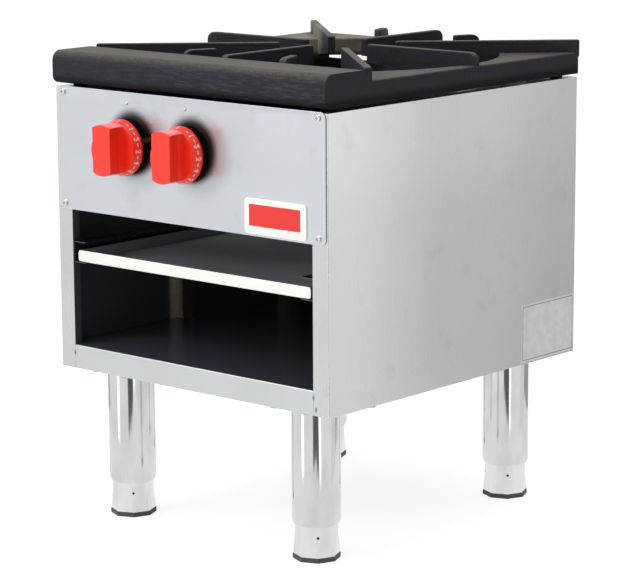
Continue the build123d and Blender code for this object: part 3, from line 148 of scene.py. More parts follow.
class Signal:
    """The output of a shader node, with shader maths written as ordinary arithmetic."""

    def __init__(self, graph: Graph, socket: bpy.types.NodeSocket) -> None:
        self.graph = graph
        self.socket = socket

    def _math(self, operation: str, *operands: Signal | float) -> Signal:
        node = self.graph.node("ShaderNodeMath", {"operation": operation})
        for slot, operand in zip(node.inputs, operands):
            self.graph.feed(slot, operand)
        return Signal(self.graph, node.outputs[0])

    def __add__(self, other: Signal | float) -> Signal:
        return self._math("ADD", self, other)

    def __sub__(self, other: Signal | float) -> Signal:
        return self._math("SUBTRACT", self, other)

    def __rsub__(self, other: float) -> Signal:
        return self._math("SUBTRACT", other, self)

    def __mul__(self, other: Signal | float) -> Signal:
        return self._math("MULTIPLY", self, other)

    __radd__ = __add__
    __rmul__ = __mul__

    def __truediv__(self, other: Signal | float) -> Signal:
        return self._math("DIVIDE", self, other)

    def __abs__(self) -> Signal:
        return self._math("ABSOLUTE", self)

    def root(self) -> Signal:
        """Returns the square root."""
        return self._math("SQRT", self)

    def larger(self, other: Signal | float) -> Signal:
        """Returns the larger of this signal and another."""
        return self._math("MAXIMUM", self, other)

    def rise(self, low: float, high: float) -> Signal:
        """Returns 0 at low and 1 at high, with a smooth step between them; high may be the lower one."""
        settings = {"interpolation_type": "SMOOTHSTEP"}
        inputs = {"Value": self, "From Min": low, "From Max": high}
        if high < low:
            inputs.update({"From Min": high, "From Max": low, "To Min": 1.0, "To Max": 0.0})
        return self.graph.out("ShaderNodeMapRange", settings, inputs)


class Graph:
    """The node tree of one material or world while it is being built."""

    def __init__(self, owner: bpy.types.Material | bpy.types.World) -> None:
        owner.use_nodes = True
        self.tree = owner.node_tree
        self.tree.nodes.clear()

    def feed(self, slot: bpy.types.NodeSocket, value: Signal | float | Sequence[float]) -> None:
        """Links a signal into an input socket, or sets the input to a number, a vector or a colour."""
        if isinstance(value, Signal):
            self.tree.links.new(value.socket, slot)
        elif isinstance(value, (int, float)):
            slot.default_value = value
        else:
            size = len(slot.default_value)
            slot.default_value = (*value, 1.0)[:size]

    def node(self, kind: str, settings: dict | None = None, inputs: dict | None = None) -> bpy.types.Node:
        """Adds a node.

        Args:
            kind: The node's type name.
            settings: Attributes of the node, by name.
            inputs: Signals or constants for its inputs, by the input's name or number.

        Returns:
            The new node.
        """
        node = self.tree.nodes.new(kind)
        for name, value in (settings or {}).items():
            setattr(node, name, value)
        for name, value in (inputs or {}).items():
            self.feed(node.inputs[name], value)
        return node

    def out(
        self, kind: str, settings: dict | None = None, inputs: dict | None = None, output: str | int = 0
    ) -> Signal:
        """Adds a node, as node() does, and returns one of its outputs as a signal."""
        return Signal(self, self.node(kind, settings, inputs).outputs[output])

    def position(self) -> Signal:
        """Returns the point's place on the object, in metres."""
        return self.out("ShaderNodeTexCoord", output="Object")

    def axes(self, vector: Signal) -> tuple[Signal, Signal, Signal]:
        """Splits a vector into its X, Y and Z signals."""
        node = self.node("ShaderNodeSeparateXYZ", inputs={0: vector})
        return tuple(Signal(self, socket) for socket in node.outputs)

    def distance(self, point: Sequence[Signal], centre: Spot) -> Signal:
        """Returns the distance of a point from a fixed centre, both given by the same two axes."""
        first, second = (part - middle for part, middle in zip(point, centre))
        return (first * first + second * second).root()

    def upward(self) -> Signal:
        """Returns how far the surface faces up, from -1 to 1."""
        return self.axes(self.out("ShaderNodeTexCoord", output="Normal"))[Axis.Z]

    def noise(self, pattern: Pattern) -> Signal:
        """Returns a noise pattern, with values around 0.5."""
        inputs = {"Vector": self.position(), "Scale": pattern.per_metre, "Location": even(pattern.shift)}
        scaled = self.out("ShaderNodeMapping", inputs=inputs)
        cloudy = {"Vector": scaled, "Scale": 1.0, "Detail": pattern.detail}
        return self.out("ShaderNodeTexNoise", inputs=cloudy)

    def blend(self, share: Signal | float, first: Signal | Colour, second: Signal | Colour) -> Signal:
        """Mixes two colours: the first where share is 0, the second where it is 1."""
        node = self.node("ShaderNodeMix", {"data_type": "RGBA"})
        for name, value in (("Factor_Float", share), ("A_Color", first), ("B_Color", second)):
            self.feed(next(slot for slot in node.inputs if slot.identifier == name), value)
        return Signal(self, next(slot for slot in node.outputs if slot.identifier == "Result_Color"))

    def bump(self, height: Signal, depth: float) -> Signal:
        """Returns the normal of a surface with this height map, where 1 stands for depth in metres."""
        return self.out("ShaderNodeBump", inputs={"Height": height, "Distance": depth})


class Grain(Enum):
    """The direction in which a sheet was brushed, as blotches per metre along X, Y and Z."""

    ALONG_X = (5.0, 900.0, 900.0)
    ALONG_Z = (900.0, 900.0, 5.0)

    def streaks(self) -> Pattern:
        """Returns the fine streaks of the brushing."""
        return Pattern(self.value, 4.0)

    def bands(self) -> Pattern:
        """Returns the broader bands that the brushing leaves, nine streaks wide."""
        return Pattern(tuple(scale / 9 for scale in self.value), 2.0, 3.1)


@dataclass(frozen=True)
class Limit:
    """A bound of the region that counts as a sheet's inner side.

    Attributes:
        axis: The axis that it lies across.
        value: The bound, in metres.
        above: True where the region lies above the bound.
        mirrored: True where the bound is on the distance from zero.
    """

    axis: Axis
    value: float
    above: bool = True
    mirrored: bool = False


@dataclass(frozen=True)
class Fade:
    """A smooth change of a sheet's tone along an axis: painted light and shade.

    Attributes:
        axis: The axis along which the tone changes.
        start: Where the change starts, in metres.
        end: Where it is complete.
        share: How much lighter the sheet is past the end, as a share of its colour; below 0 for darker.
    """

    axis: Axis
    start: float
    end: float
    share: float

    def moved(self, by: float) -> Fade:
        """Returns the same change of tone, further along its axis."""
        return replace(self, start=self.start + by, end=self.end + by)


@dataclass(frozen=True)
class Shade:
    """A round darker patch of a sheet that lies in the X and Z plane, such as the painted shadow and dark
    reflection beside a knob.

    Attributes:
        centre: Its middle's X and Z.
        radius: How far the full shade reaches.
        soft: How much further it takes to fade.
        share: How much darker the sheet is there, as a share of its tone.
    """

    centre: Spot
    radius: float
    soft: float
    share: float

    def moved(self, by: Spot) -> Shade:
        """Returns the same patch, further along X and Z."""
        return replace(self, centre=(self.centre[0] + by[0], self.centre[1] + by[1]))


@dataclass(frozen=True)
class Finish:
    """What all finishes have: a look of their own and a way of making the Blender material once.

    Attributes:
        name: The material's name.
        colour: Its main colour.
        roughness: How matt it is.
        texture: How deep its fine texture is, in metres.
    """

    name: str
    colour: Colour = linear(190, 190, 188)
    roughness: float = 0.35
    texture: float = 0.00003

    def material(self) -> bpy.types.Material:
        """Returns the material, made at the first call."""
        known = bpy.data.materials.get(self.name)
        if known:
            return known
        made = bpy.data.materials.new(self.name)
        graph = Graph(made)
        shader = graph.out("ShaderNodeBsdfPrincipled", inputs=self.inputs(graph))
        graph.node("ShaderNodeOutputMaterial", inputs={"Surface": shader})
        return made

    def inputs(self, graph: Graph) -> Inputs:
        """Returns the inputs of the standard surface shader, by name."""
        raise NotImplementedError


@dataclass(frozen=True)
class BrushedSheet(Finish):
    """Brushed stainless sheet, with its inner side painted darker, smoother and hardly metallic, as shade.

    Attributes:
        grain: The brushing direction.
        cloudiness: How much the sheet's tone drifts across it.
        streak: How strongly the brushing shows.
        smudges: How much darker the handling smudges are.
        fades: Broad changes of tone across the sheet: painted light and shade.
        shades: Round patches of painted shade.
        inner: The bounds, at least one, that a point on the inner side meets.
        inner_colour: The inner side's colour, darker as painted shade.
        inner_roughness: How matt the inner side is.
        metallic, inner_metallic: How metallic the outer and the inner side look.
        transition: Half the width of the step from the outer to the inner side.
        headroom: The tone 1 as a share of the brightest tone that fits.
        uneven: How much the mattness drifts.
    """

    colour: Colour = linear(214, 216, 218)
    roughness: float = 0.34
    texture: float = 0.00002
    grain: Grain = Grain.ALONG_X
    cloudiness: float = 0.05
    streak: float = 0.05
    smudges: float = 0.0
    fades: tuple[Fade, ...] = ()
    shades: tuple[Shade, ...] = ()
    inner: tuple[Limit, ...] = ()
    inner_colour: Colour = linear(60, 64, 72)
    inner_roughness: float = 0.22
    metallic: float = 0.98
    inner_metallic: float = 0.04
    transition: float = 0.0001
    headroom: float = 0.8
    uneven: float = 0.10

    def inside(self, places: Sequence[Signal]) -> Signal:
        """Returns 1 on the sheet's inner side and 0 elsewhere, from the point's X, Y and Z."""
        share: Signal | float = 1.0
        for limit in self.inner:
            reach = abs(places[limit.axis]) if limit.mirrored else places[limit.axis]
            edge = self.transition if limit.above else -self.transition
            share = share * reach.rise(limit.value - edge, limit.value + edge)
        return share

    def inputs(self, graph: Graph) -> Inputs:
        """Sets the tone by streaks, bands, clouds and smudges, then paints light and shade into it by
        fades and shades.
        """
        streaks = graph.noise(self.grain.streaks())
        bands = graph.noise(self.grain.bands())
        clouds = graph.noise(SHEET_CLOUDS)
        marks = graph.noise(SHEET_SMUDGES).rise(*SHEET_SMUDGES.window) * self.smudges
        places = graph.axes(graph.position())
        lines = (streaks - 0.5) * self.streak + (bands - 0.5) * (self.streak / 2)
        tone = 1.0 + lines + (clouds - 0.5) * (2 * self.cloudiness) - marks
        # The fades paint light and shade: a lighter or darker tone along an axis.
        for fade in self.fades:
            tone = tone + places[fade.axis].rise(fade.start, fade.end) * fade.share
        # The round shades are painted shade, such as the shadow and dark reflection beside a knob.
        for shade in self.shades:
            distance = graph.distance((places[Axis.X], places[Axis.Z]), shade.centre)
            tone = tone * (1.0 - distance.rise(shade.radius + shade.soft, shade.radius) * shade.share)
        brightest = tuple(channel / self.headroom for channel in self.colour)
        brushed = graph.blend(tone * self.headroom, BLACK, brightest)
        # The inner side is painted dark and hardly metallic, as shade inside the cabinet.
        inside = self.inside(places)
        outside = 1.0 - inside
        # A smudge adds half its darkness to the mattness.
        matt = self.roughness + (streaks - 0.5 + clouds - 0.5) * self.uneven + marks * 0.5
        return {
            "Base Color": graph.blend(inside, brushed, self.inner_colour),
            "Metallic": outside * (self.metallic - self.inner_metallic) + self.inner_metallic,
            "Roughness": matt * outside + inside * self.inner_roughness,
            "Anisotropic": 0.35,
            "Normal": graph.bump(streaks, self.texture),
        }


@dataclass(frozen=True)
class PolishedTube(Finish):
    """Polished plated tube with faint draw lines along it.

    Attributes:
        dimming: How much darker the plating is under its smears.
    """

    colour: Colour = linear(222, 222, 220)
    roughness: float = 0.10
    dimming: float = 0.14

    def inputs(self, graph: Graph) -> Inputs:
        """Changes the mattness by draw lines and smears, and the tone by smears."""
        lines = graph.noise(TUBE_DRAW_LINES)
        smears = graph.noise(TUBE_SMEARS)
        dimmed = tuple(channel * (1 - self.dimming) for channel in self.colour)
        return {
            "Base Color": graph.blend(smears.rise(*TUBE_SMEARS.window), self.colour, dimmed),
            "Metallic": 1.0,
            "Roughness": self.roughness + (lines - 0.5) * 0.10 + (smears - 0.5) * 0.08,
            "Normal": graph.bump(lines, self.texture),
        }


@dataclass(frozen=True)
class CastIron(Finish):
    """Black cast iron with a sand-cast skin; what faces up is pale from settled dirt and painted top
    light, with painted light round a corner and painted shade along its foot.

    Attributes:
        bloom_and_top_light: The colour on upward faces: settled dirt, and painted light from above.
        bloom_and_top_light_share: How much of the settled dirt and painted top light shows.
        rubbed_and_highlit: The colour of the rubbed iron and of the painted highlight on the front rail.
        grains: The tones of the darkest and the palest grains, as shares of the colour.
        rubbing_and_highlight: How much rubbing and painted highlight the handled region has at its left
            end, and how much more at its right end.
        gloss: How bright its highlights are; a clean smooth surface has 0.5.
        foot: The height of the casting's lower edge, along which a band of painted shade lies.
        foot_shade_band: How far above the foot the painted shade ends, and up to where it is full.
        foot_shade_share: How black the painted shade is.
        lit_corner: X and Y of the corner round which light is painted on the casting.
        lit_corner_reach: How far from that corner the painted light ends, and up to where it is full.
        lit_corner_share: How much the painted light covers.
        handled: The lowest X, the highest X and the highest Y of the handled front rail.
        handled_edges: How soft the handled region's ends and its rear edge are.
    """

    colour: Colour = linear(40, 40, 47)
    roughness: float = 0.55
    texture: float = 0.0005
    bloom_and_top_light: Colour = linear(126, 118, 102)
    bloom_and_top_light_share: float = 0.75
    rubbed_and_highlit: Colour = linear(112, 112, 126)
    grains: Spot = (0.4, 1.6)
    rubbing_and_highlight: Spot = (0.02, 0.12)
    gloss: float = 0.12
    foot: float = 0.0
    foot_shade_band: Spot = (0.017, 0.006)
    foot_shade_share: float = 0.9
    lit_corner: Spot = (9.0, 9.0)
    lit_corner_reach: Spot = (0.20, 0.12)
    lit_corner_share: float = 0.95
    handled: Point = (0.0, 0.0, 0.0)
    handled_edges: Spot = (0.001, 0.02)

    def front(self, x: Signal, y: Signal) -> Signal:
        """Returns 1 on the handled front rail and 0 elsewhere, from the point's X and Y."""
        left, right, back = self.handled
        side, rear = self.handled_edges
        return x.rise(left, left + side) * x.rise(right, right - side) * y.rise(back, back - rear)

    def inputs(self, graph: Graph) -> Inputs:
        """Lays sandy iron with rubbing and painted highlight in front, settled dirt and painted top light
        on top, painted light in a corner and painted shade below.
        """
        grit = graph.noise(IRON_GRIT)
        lumps = graph.noise(IRON_LUMPS)
        patches = graph.noise(IRON_PATCHES)
        rubbing = graph.noise(IRON_RUBBING)
        strokes = graph.noise(IRON_STROKES)
        x, y, z = graph.axes(graph.position())
        front = self.front(x, y)
        # The grit sets the tone, and on the front rail half of the strokes is added to it.
        dark, pale = (tuple(channel * grain for channel in self.colour) for grain in self.grains)
        skin = graph.blend(grit * 0.8 + 0.1 + front * (strokes - 0.5) * 0.5, dark, pale)
        left, right, _ = self.handled
        least, more = self.rubbing_and_highlight
        # Rubbing and painted highlight on the front rail, growing towards its right end.
        rubs_and_highlights = front * strokes.rise(*IRON_STROKES.window) * (x.rise(left, right) * more + least)
        rubbed_and_highlit = graph.blend(rubs_and_highlights, skin, self.rubbed_and_highlit)
        # Settled dirt and painted top light: on what faces up the patches count twice as much as the grit
        # and the rubbing, less a fifth.
        up = graph.upward().rise(0.25, 0.95)
        settled = patches * 0.6 + grit.rise(*IRON_GRIT.window) * 0.3 + rubbing * 0.3 - 0.2
        # Painted light round one corner of the casting.
        near = graph.distance((x, y), self.lit_corner).rise(*self.lit_corner_reach)
        corner_light = near * patches.rise(*IRON_PATCHES.window) * self.lit_corner_share
        bloomed_and_lit = graph.blend((up * settled * self.bloom_and_top_light_share).larger(corner_light), rubbed_and_highlit, self.bloom_and_top_light)
        # Painted shade: a black band along the casting's foot.
        foot_shade = z.rise(*(self.foot + reach for reach in self.foot_shade_band)) * self.foot_shade_share
        return {
            "Base Color": graph.blend(foot_shade, bloomed_and_lit, BLACK),
            "Roughness": self.roughness + (patches - 0.5) * 0.22 + (grit - 0.5) * 0.16,
            "Specular IOR Level": self.gloss,
            "Normal": graph.bump(grit * 0.6 + lumps, self.texture),
        }


@dataclass(frozen=True)
class MouldedPlastic(Finish):
    """Moulded thermoset plastic with a faint orange-peel skin and handling marks.

    Attributes:
        coat: How glossy the top skin is.
        handling: How much darker the most handled spots are.
    """

    colour: Colour = linear(246, 42, 18)
    roughness: float = 0.36
    texture: float = 0.00002
    coat: float = 0.2
    handling: float = 0.06

    def inputs(self, graph: Graph) -> Inputs:
        """Makes handled spots darker and matter, on an orange-peel skin."""
        peel = graph.noise(PLASTIC_PEEL)
        handled = graph.noise(PLASTIC_HANDLING)
        darker = tuple(channel * (1 - self.handling) for channel in self.colour)
        return {
            "Base Color": graph.blend(handled.rise(*PLASTIC_HANDLING.window), self.colour, darker),
            "Roughness": self.roughness + (handled - 0.5) * 0.10,
            "Coat Weight": self.coat,
            "Coat Roughness": 0.3,
            "Normal": graph.bump(peel, self.texture),
        }


@dataclass(frozen=True)
class PlainMetal(Finish):
    """Turned, plated or painted small metal part.

    Attributes:
        metallic: 1 for bare metal, 0 for paint.
        mottle: How uneven its tone is.
    """

    texture: float = 0.00004
    metallic: float = 1.0
    mottle: float = 0.2

    def inputs(self, graph: Graph) -> Inputs:
        """Changes the tone by fine spots and the mattness by a broad drift."""
        spots = graph.noise(METAL_SPOTS)
        drift = graph.noise(METAL_DRIFT)
        low = tuple(channel * (1 - self.mottle) for channel in self.colour)
        return {
            "Base Color": graph.blend(spots.rise(*METAL_SPOTS.window), low, self.colour),
            "Metallic": self.metallic,
            "Roughness": self.roughness + (drift - 0.5) * 0.2,
            "Normal": graph.bump(spots, self.texture),
        }


@dataclass(frozen=True)
class BareLabel(Finish):
    """Foil label with a thin printed border and nothing else on it.

    Attributes:
        low, high: The label's lowest and highest Y and Z.
        border: How far the border lies inside the edge.
        line: The border's width.
        dull: The foil's darker colour.
        ink: The border's colour.
    """

    colour: Colour = linear(226, 227, 224)
    roughness: float = 0.42
    low: Spot = (0.0, 0.0)
    high: Spot = (1.0, 1.0)
    border: float = 0.003
    line: float = 0.0007
    dull: Colour = linear(214, 215, 212)
    ink: Colour = linear(120, 121, 122)

    def inputs(self, graph: Graph) -> Inputs:
        """Lays crinkled foil with an inked border at a set distance from its edge."""
        _, across, height = graph.axes(graph.position())
        middle = [(a + b) / 2 for a, b in zip(self.low, self.high)]
        half = [(b - a) / 2 for a, b in zip(self.low, self.high)]
        inset = (abs(across - middle[0]) - half[0]).larger(abs(height - middle[1]) - half[1])
        edge = abs(inset + self.border)
        crinkle = graph.noise(FOIL_CRINKLE)
        foil = graph.blend(crinkle.rise(*FOIL_CRINKLE.window), self.dull, self.colour)
        return {
            "Base Color": graph.blend(edge.rise(self.line, self.line * 0.4), foil, self.ink),
            "Metallic": 0.35,
            "Roughness": self.roughness + (crinkle - 0.5) * 0.2,
            "Normal": graph.bump(crinkle, self.texture),
        }


# ---- mesh building


def place(name: str, data: bpy.types.ID) -> bpy.types.Object:
    """Adds an object with this data to the scene, and returns it."""
    made = bpy.data.objects.new(name, data)
    bpy.context.scene.collection.objects.link(made)
    return made


def grid_mesh(
    shape: Callable[[np.ndarray, np.ndarray], Points],
    across: int,
    along: int,
    wrap: bool = False,
) -> Patch:
    """Samples a surface of two parameters on a grid.

    Args:
        shape: Takes arrays u and v from 0 to 1 and returns X, Y and Z.
        across: Steps in u.
        along: Steps in v.
        wrap: True where u = 1 meets u = 0.

    Returns:
        The points, one a row, and the faces, four indices a row.
    """
    columns = across if wrap else across + 1
    u, v = np.meshgrid(np.arange(columns) / across, np.linspace(0, 1, along + 1), indexing="ij")
    points = np.stack(shape(u.ravel(), v.ravel()), axis=1)
    index = np.arange(columns * (along + 1)).reshape(columns, along + 1)
    near, far = (index, np.roll(index, -1, axis=0)) if wrap else (index[:-1], index[1:])
    faces = np.stack([near[:, :-1], far[:, :-1], far[:, 1:], near[:, 1:]], axis=-1).reshape(-1, 4)
    return points, faces


def piece(name: str, patches: Iterable[Patch], finish: Finish, body: str) -> None:
    """Makes one smooth-shaded object from sampled surfaces and lets it ride on a CAD body.

    Args:
        name: The object's name.
        patches: Points and faces of each surface.
        finish: The object's finish.
        body: The CAD body that it moves with.
    """
    points: list[np.ndarray] = []
    faces: list[np.ndarray] = []
    start = 0
    for patch_points, patch_faces in patches:
        points.append(patch_points)
        faces.append(patch_faces + start)
        start += len(patch_points)
    mesh = bpy.data.meshes.new(name)
    mesh.from_pydata(np.concatenate(points).tolist(), [], np.concatenate(faces).tolist())
    mesh.validate()
    mesh.shade_smooth()
    mesh.materials.append(finish.material())
    made = place(name, mesh)
    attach(made, body)


# ---- sub-assemblies


@dataclass(frozen=True)
class Look:
    """A finish and the CAD nodes that wear it.

    Attributes:
        finish: The finish.
        nodes: The node names.
        crease: Edges sharper than this many degrees stay sharp.
    """

    finish: Finish
    nodes: tuple[str, ...]
    crease: float = 30.0


@dataclass
class Assembly:
    """A group of CAD nodes that get their finishes together.

    Attributes:
    """

    frame: dict

    def dress(self, *looks: Look) -> None:
        """Gives finishes to nodes, and shades these smooth between their sharp edges."""
        for look in looks:
            for name in look.nodes:
                mesh = self.frame["nodes"][name].data
                mesh.materials.clear()
                mesh.materials.append(look.finish.material())
                mesh.shade_smooth()
                mesh.set_sharp_from_angle(angle=math.radians(look.crease))


SIDES = ("left", "right")
CORNERS = tuple(f"{row}_{side}" for row in ("front", "rear") for side in SIDES)


def axis_of(node: str) -> Spot:
    """Returns X and Z of the middle of a node's box, such as a knob's axis."""
    low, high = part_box(node)
    return ((low.x + high.x) / 2, (low.z + high.z) / 2)


@dataclass
class Cabinet(Assembly):
    """The sheet-metal cabinet, its fixings and plates.

    Attributes:
        sheet: Thickness of the cabinet's sheet.
        fold: How far the rounded fold of the shelf's front edge reaches back.
        lip: Thickness of the crumb tray's lip.
        fades: The side panels' painted shade: darker on the front face, towards the rear and lower down; Y
            is measured from their front and Z from their top.
        knob_shades: The painted shadow and dark reflection beside each knob and the faint painted shade
            round it, measured from its axis.
        bead: Half width, height and half length of a weld bead.
        ripples: How many ripples a bead has along its length.
        ripple: How high a ripple is, as a share of the bead's radius.
        bead_spots: X and Z of each bead on the front rail's face.
    """

    sheet: float = 0.0012
    fold: float = 0.0020
    lip: float = 0.0018
    # Painted shade on the side panels: darker on the front face, towards the rear and lower down.
    fades: tuple[Fade, ...] = (
        Fade(Axis.Y, start=0.002, end=0.0, share=-0.21),
        Fade(Axis.Y, start=0.02, end=0.22, share=-0.20),
        Fade(Axis.Y, start=0.30, end=0.46, share=-0.06),
        Fade(Axis.Z, start=-0.03, end=-0.16, share=-0.07),
    )
    # Painted shadow and dark reflection of each knob on the front panel.
    knob_shades: tuple[Shade, ...] = (
        Shade(centre=(0.010, 0.005), radius=0.033, soft=0.014, share=0.93),
        Shade(centre=(0.020, 0.0), radius=0.038, soft=0.024, share=0.20),
    )
    bead: Point = (0.00144, 0.00096, 0.0032)
    ripples: int = 3
    ripple: float = 0.1
    bead_spots: tuple[Spot, ...] = ((-0.2038, 0.2164), (0.2037, 0.2179), (0.2076, 0.2038))

    def side_look(self) -> Look:
        """Returns the finish of the side panels: painted dark inside their flanges as shade, and painted
        in light and shade outside.
        """
        low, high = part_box("right_side_panel")
        skin = self.sheet / 2
        origin = {Axis.Y: low.y, Axis.Z: high.z}
        sheet = BrushedSheet(
            "side_sheet",
            # Painted light and shade: a bright tone, which the fades darken on the front face, towards the
            # rear and lower down.
            linear(240, 243, 241),
            grain=Grain.ALONG_Z,
            roughness=0.26,
            streak=0.02,
            smudges=0.05,
            fades=tuple(fade.moved(origin[fade.axis]) for fade in self.fades),
            # Inside the flanges the sheet is painted dark, as shade.
            inner=(
                Limit(Axis.X, high.x - skin, above=False, mirrored=True),
                Limit(Axis.Y, low.y + skin),
                Limit(Axis.Y, high.y - skin, above=False),
                Limit(Axis.Z, low.z + skin),
                Limit(Axis.Z, high.z - skin, above=False),
            ),
        )
        return Look(sheet, ("left_side_panel", "right_side_panel"))

    def sheet_looks(self) -> list[Look]:
        """Returns the finishes of the other visible stainless sheets, each with its inner side painted
        darker as shade.
        """
        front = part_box("right_side_panel")[0].y
        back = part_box("back_panel")[1].y
        tray_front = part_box("crumb_tray")[0].y
        skin = self.sheet / 2
        panel = BrushedSheet(
            "front_sheet",
            linear(208, 212, 217),
            roughness=0.31,
            streak=0.04,
            smudges=0.10,
            # Painted shadow and dark reflection beside each knob.
            shades=tuple(
                shade.moved(axis_of(f"{side}_knob")) for side in SIDES for shade in self.knob_shades
            ),
            inner=(Limit(Axis.Y, front - skin),),
        )
        shelf = BrushedSheet(
            "shelf_sheet",
            linear(205, 209, 210),
            streak=0.04,
            inner=(Limit(Axis.Y, front + self.fold),),
        )
        tray = BrushedSheet(
            "tray_sheet",
            linear(243, 243, 238),
            cloudiness=0.02,
            roughness=0.5,
            inner=(Limit(Axis.Y, tray_front + self.lip),),
            # The tray's inner side is painted darker, as shade.
            inner_colour=linear(150, 154, 162),
            inner_roughness=0.30,
        )
        rear = BrushedSheet(
            "back_sheet",
            linear(170, 172, 172),
            inner=(Limit(Axis.Y, back - skin, above=False),),
            # The back panel's inner side is painted darker, as shade.
            inner_colour=linear(104, 100, 96),
        )
        return [
            Look(panel, ("control_panel",)),
            Look(shelf, ("bottom_shelf",)),
            Look(tray, ("crumb_tray",)),
            Look(rear, ("back_panel",)),
        ]

    def inner_looks(self) -> list[Look]:
        """Returns the finishes of what stands inside the cabinet; the baffle, bars and brackets are
        painted dark as shade.
        """
        # The baffle, bars and brackets are painted dark, as shade inside the cabinet.
        dark = PlainMetal("shade_dark_sheet", linear(60, 64, 74))
        bars = ("front_crossbar", "front_burner_bar", "rear_burner_bar")
        brackets = ("manifold_brackets", "pilot_bracket")
        runner = PlainMetal("runner_sheet", linear(96, 97, 100), roughness=0.3)
        strap = PlainMetal("strap_sheet", linear(188, 181, 168), roughness=0.38)
        return [
            Look(dark, ("heat_baffle", *bars, *brackets)),
            Look(runner, ("left_tray_runner", "right_tray_runner")),
            Look(strap, ("left_runner_straps", "right_runner_straps")),
        ]

    def trim_looks(self) -> list[Look]:
        """Returns the finishes of the fixings and the plates."""
        low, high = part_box("rating_plate")
        screws = PlainMetal("fixings", linear(226, 226, 222), roughness=0.24, mottle=0.1)
        zinc = PlainMetal("zinc_plate", linear(176, 176, 170), roughness=0.36)
        border = PlainMetal("plate_frame", linear(240, 240, 234), metallic=0.2, roughness=0.4, mottle=0.04)
        inlay = MouldedPlastic("plate_inlay", linear(228, 34, 26), roughness=0.5, handling=0.05)
        foil = BareLabel("rating_foil", low=(low.y, low.z), high=(high.y, high.z))
        return [
            Look(screws, ("panel_screws", "index_rivets", "back_rivets")),
            Look(zinc, ("leg_bolts", "leg_nut_plates", "manifold_clamps")),
            Look(border, ("name_plate",)),
            Look(inlay, ("name_plate_inlay",)),
            Look(foil, ("rating_plate",)),
        ]

    def bead_shape(self, centre: Point) -> Callable:
        """Returns a weld bead round a centre: a flattened ball, longest along Z, with ripples."""

        def shape(u: np.ndarray, v: np.ndarray) -> Points:
            # Longitude is 2*pi*u, latitude pi*(v - 1/2); the ripples are a sine wave in v on the radius.
            longitude = 2 * np.pi * u
            latitude = np.pi * (v - 0.5)
            radius = 1 + self.ripple * np.sin(2 * np.pi * self.ripples * v)
            width, height, length = self.bead
            x = centre[0] + width * radius * np.cos(latitude) * np.cos(longitude)
            y = centre[1] - height * radius * np.cos(latitude) * np.sin(longitude)
            z = centre[2] + length * np.sin(latitude)
            return x, y, z

        return shape

    def build(self) -> None:
        """Applies the finishes and adds the weld beads at the ends of the front rail."""
        self.dress(self.side_look(), *self.sheet_looks(), *self.inner_looks(), *self.trim_looks())
        rail_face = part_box("bottom_shelf")[0].y
        centres = [(x, rail_face, z) for x, z in self.bead_spots]
        patches = [grid_mesh(self.bead_shape(centre), 24, 14, wrap=True) for centre in centres]
        weld = PlainMetal("weld", linear(150, 150, 148), roughness=0.42)
        piece("rail_weld_beads", patches, weld, "cabinet")


@dataclass
class GasTrain(Assembly):
    """Pipes, valves and burners inside the cabinet."""

    def build(self) -> None:
        """Applies the finishes of the gas train."""
        paint = PlainMetal("pipe_paint", linear(34, 34, 38), metallic=0.0, roughness=0.45)
        brass = PlainMetal("turned_brass", linear(112, 96, 66), roughness=0.36)
        # The pilot parts are painted near black, as shade behind the panel's window.
        shaded_brass = PlainMetal("shade_dark_brass", linear(38, 34, 30), roughness=0.55, mottle=0.4)
        stem = PlainMetal("stem", linear(170, 170, 170))
        shutter = PlainMetal("shutter", linear(140, 140, 138))
        # The burners get less of the settled dirt and painted top light.
        burner = CastIron("burner_iron", linear(58, 54, 52), bloom_and_top_light_share=0.3)
        manifold = ("manifold_pipe", "manifold_plug", "manifold_elbow")
        supply = ("supply_pipe", "inlet_coupling", "gas_inlet_nipple")
        self.dress(
            Look(paint, (*manifold, *supply)),
            Look(brass, ("left_gas_valve", "right_gas_valve", "orifice_hoods")),
            Look(shaded_brass, ("pilot_valve", "pilot_tube", "pilot_burner")),
            Look(stem, ("left_knob_stem", "right_knob_stem")),
            Look(shutter, ("left_air_shutter", "right_air_shutter")),
            Look(burner, ("outer_burner", "inner_burner")),
        )


@dataclass
class CastTop(Assembly):
    """The cast-iron top with its fingers.

    Attributes:
        rail: How far the front rail reaches back.
        margin: How far inside the casting's left and right faces the handled region begins.
    """

    rail: float = 0.055
    margin: float = 0.0004

    def build(self) -> None:
        """Applies the casting's finish."""
        low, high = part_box("cast_top")
        iron = CastIron(
            "black_casting",
            # Painted shade along the foot, and painted light round the rear-left corner.
            foot=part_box("control_panel")[1].z,
            lit_corner=(low.x, high.y),
            handled=(low.x + self.margin, high.x - self.margin, low.y + self.rail),
        )
        self.dress(Look(iron, ("cast_top",)))


@dataclass
class Legs(Assembly):
    """Four polished legs with faceted feet on dark pads."""

    def build(self) -> None:
        """Applies the finishes of legs, feet and pads."""
        tube = PolishedTube("leg_plating")
        foot = PolishedTube("foot_casting", linear(232, 234, 232), roughness=0.22)
        pad = MouldedPlastic("foot_pad", linear(66, 68, 70), roughness=0.6, coat=0.0)
        self.dress(
            Look(tube, tuple(f"{corner}_leg" for corner in CORNERS)),
            Look(foot, tuple(f"{corner}_foot" for corner in CORNERS), crease=20.0),
            Look(pad, tuple(f"{corner}_foot_pad" for corner in CORNERS)),
        )


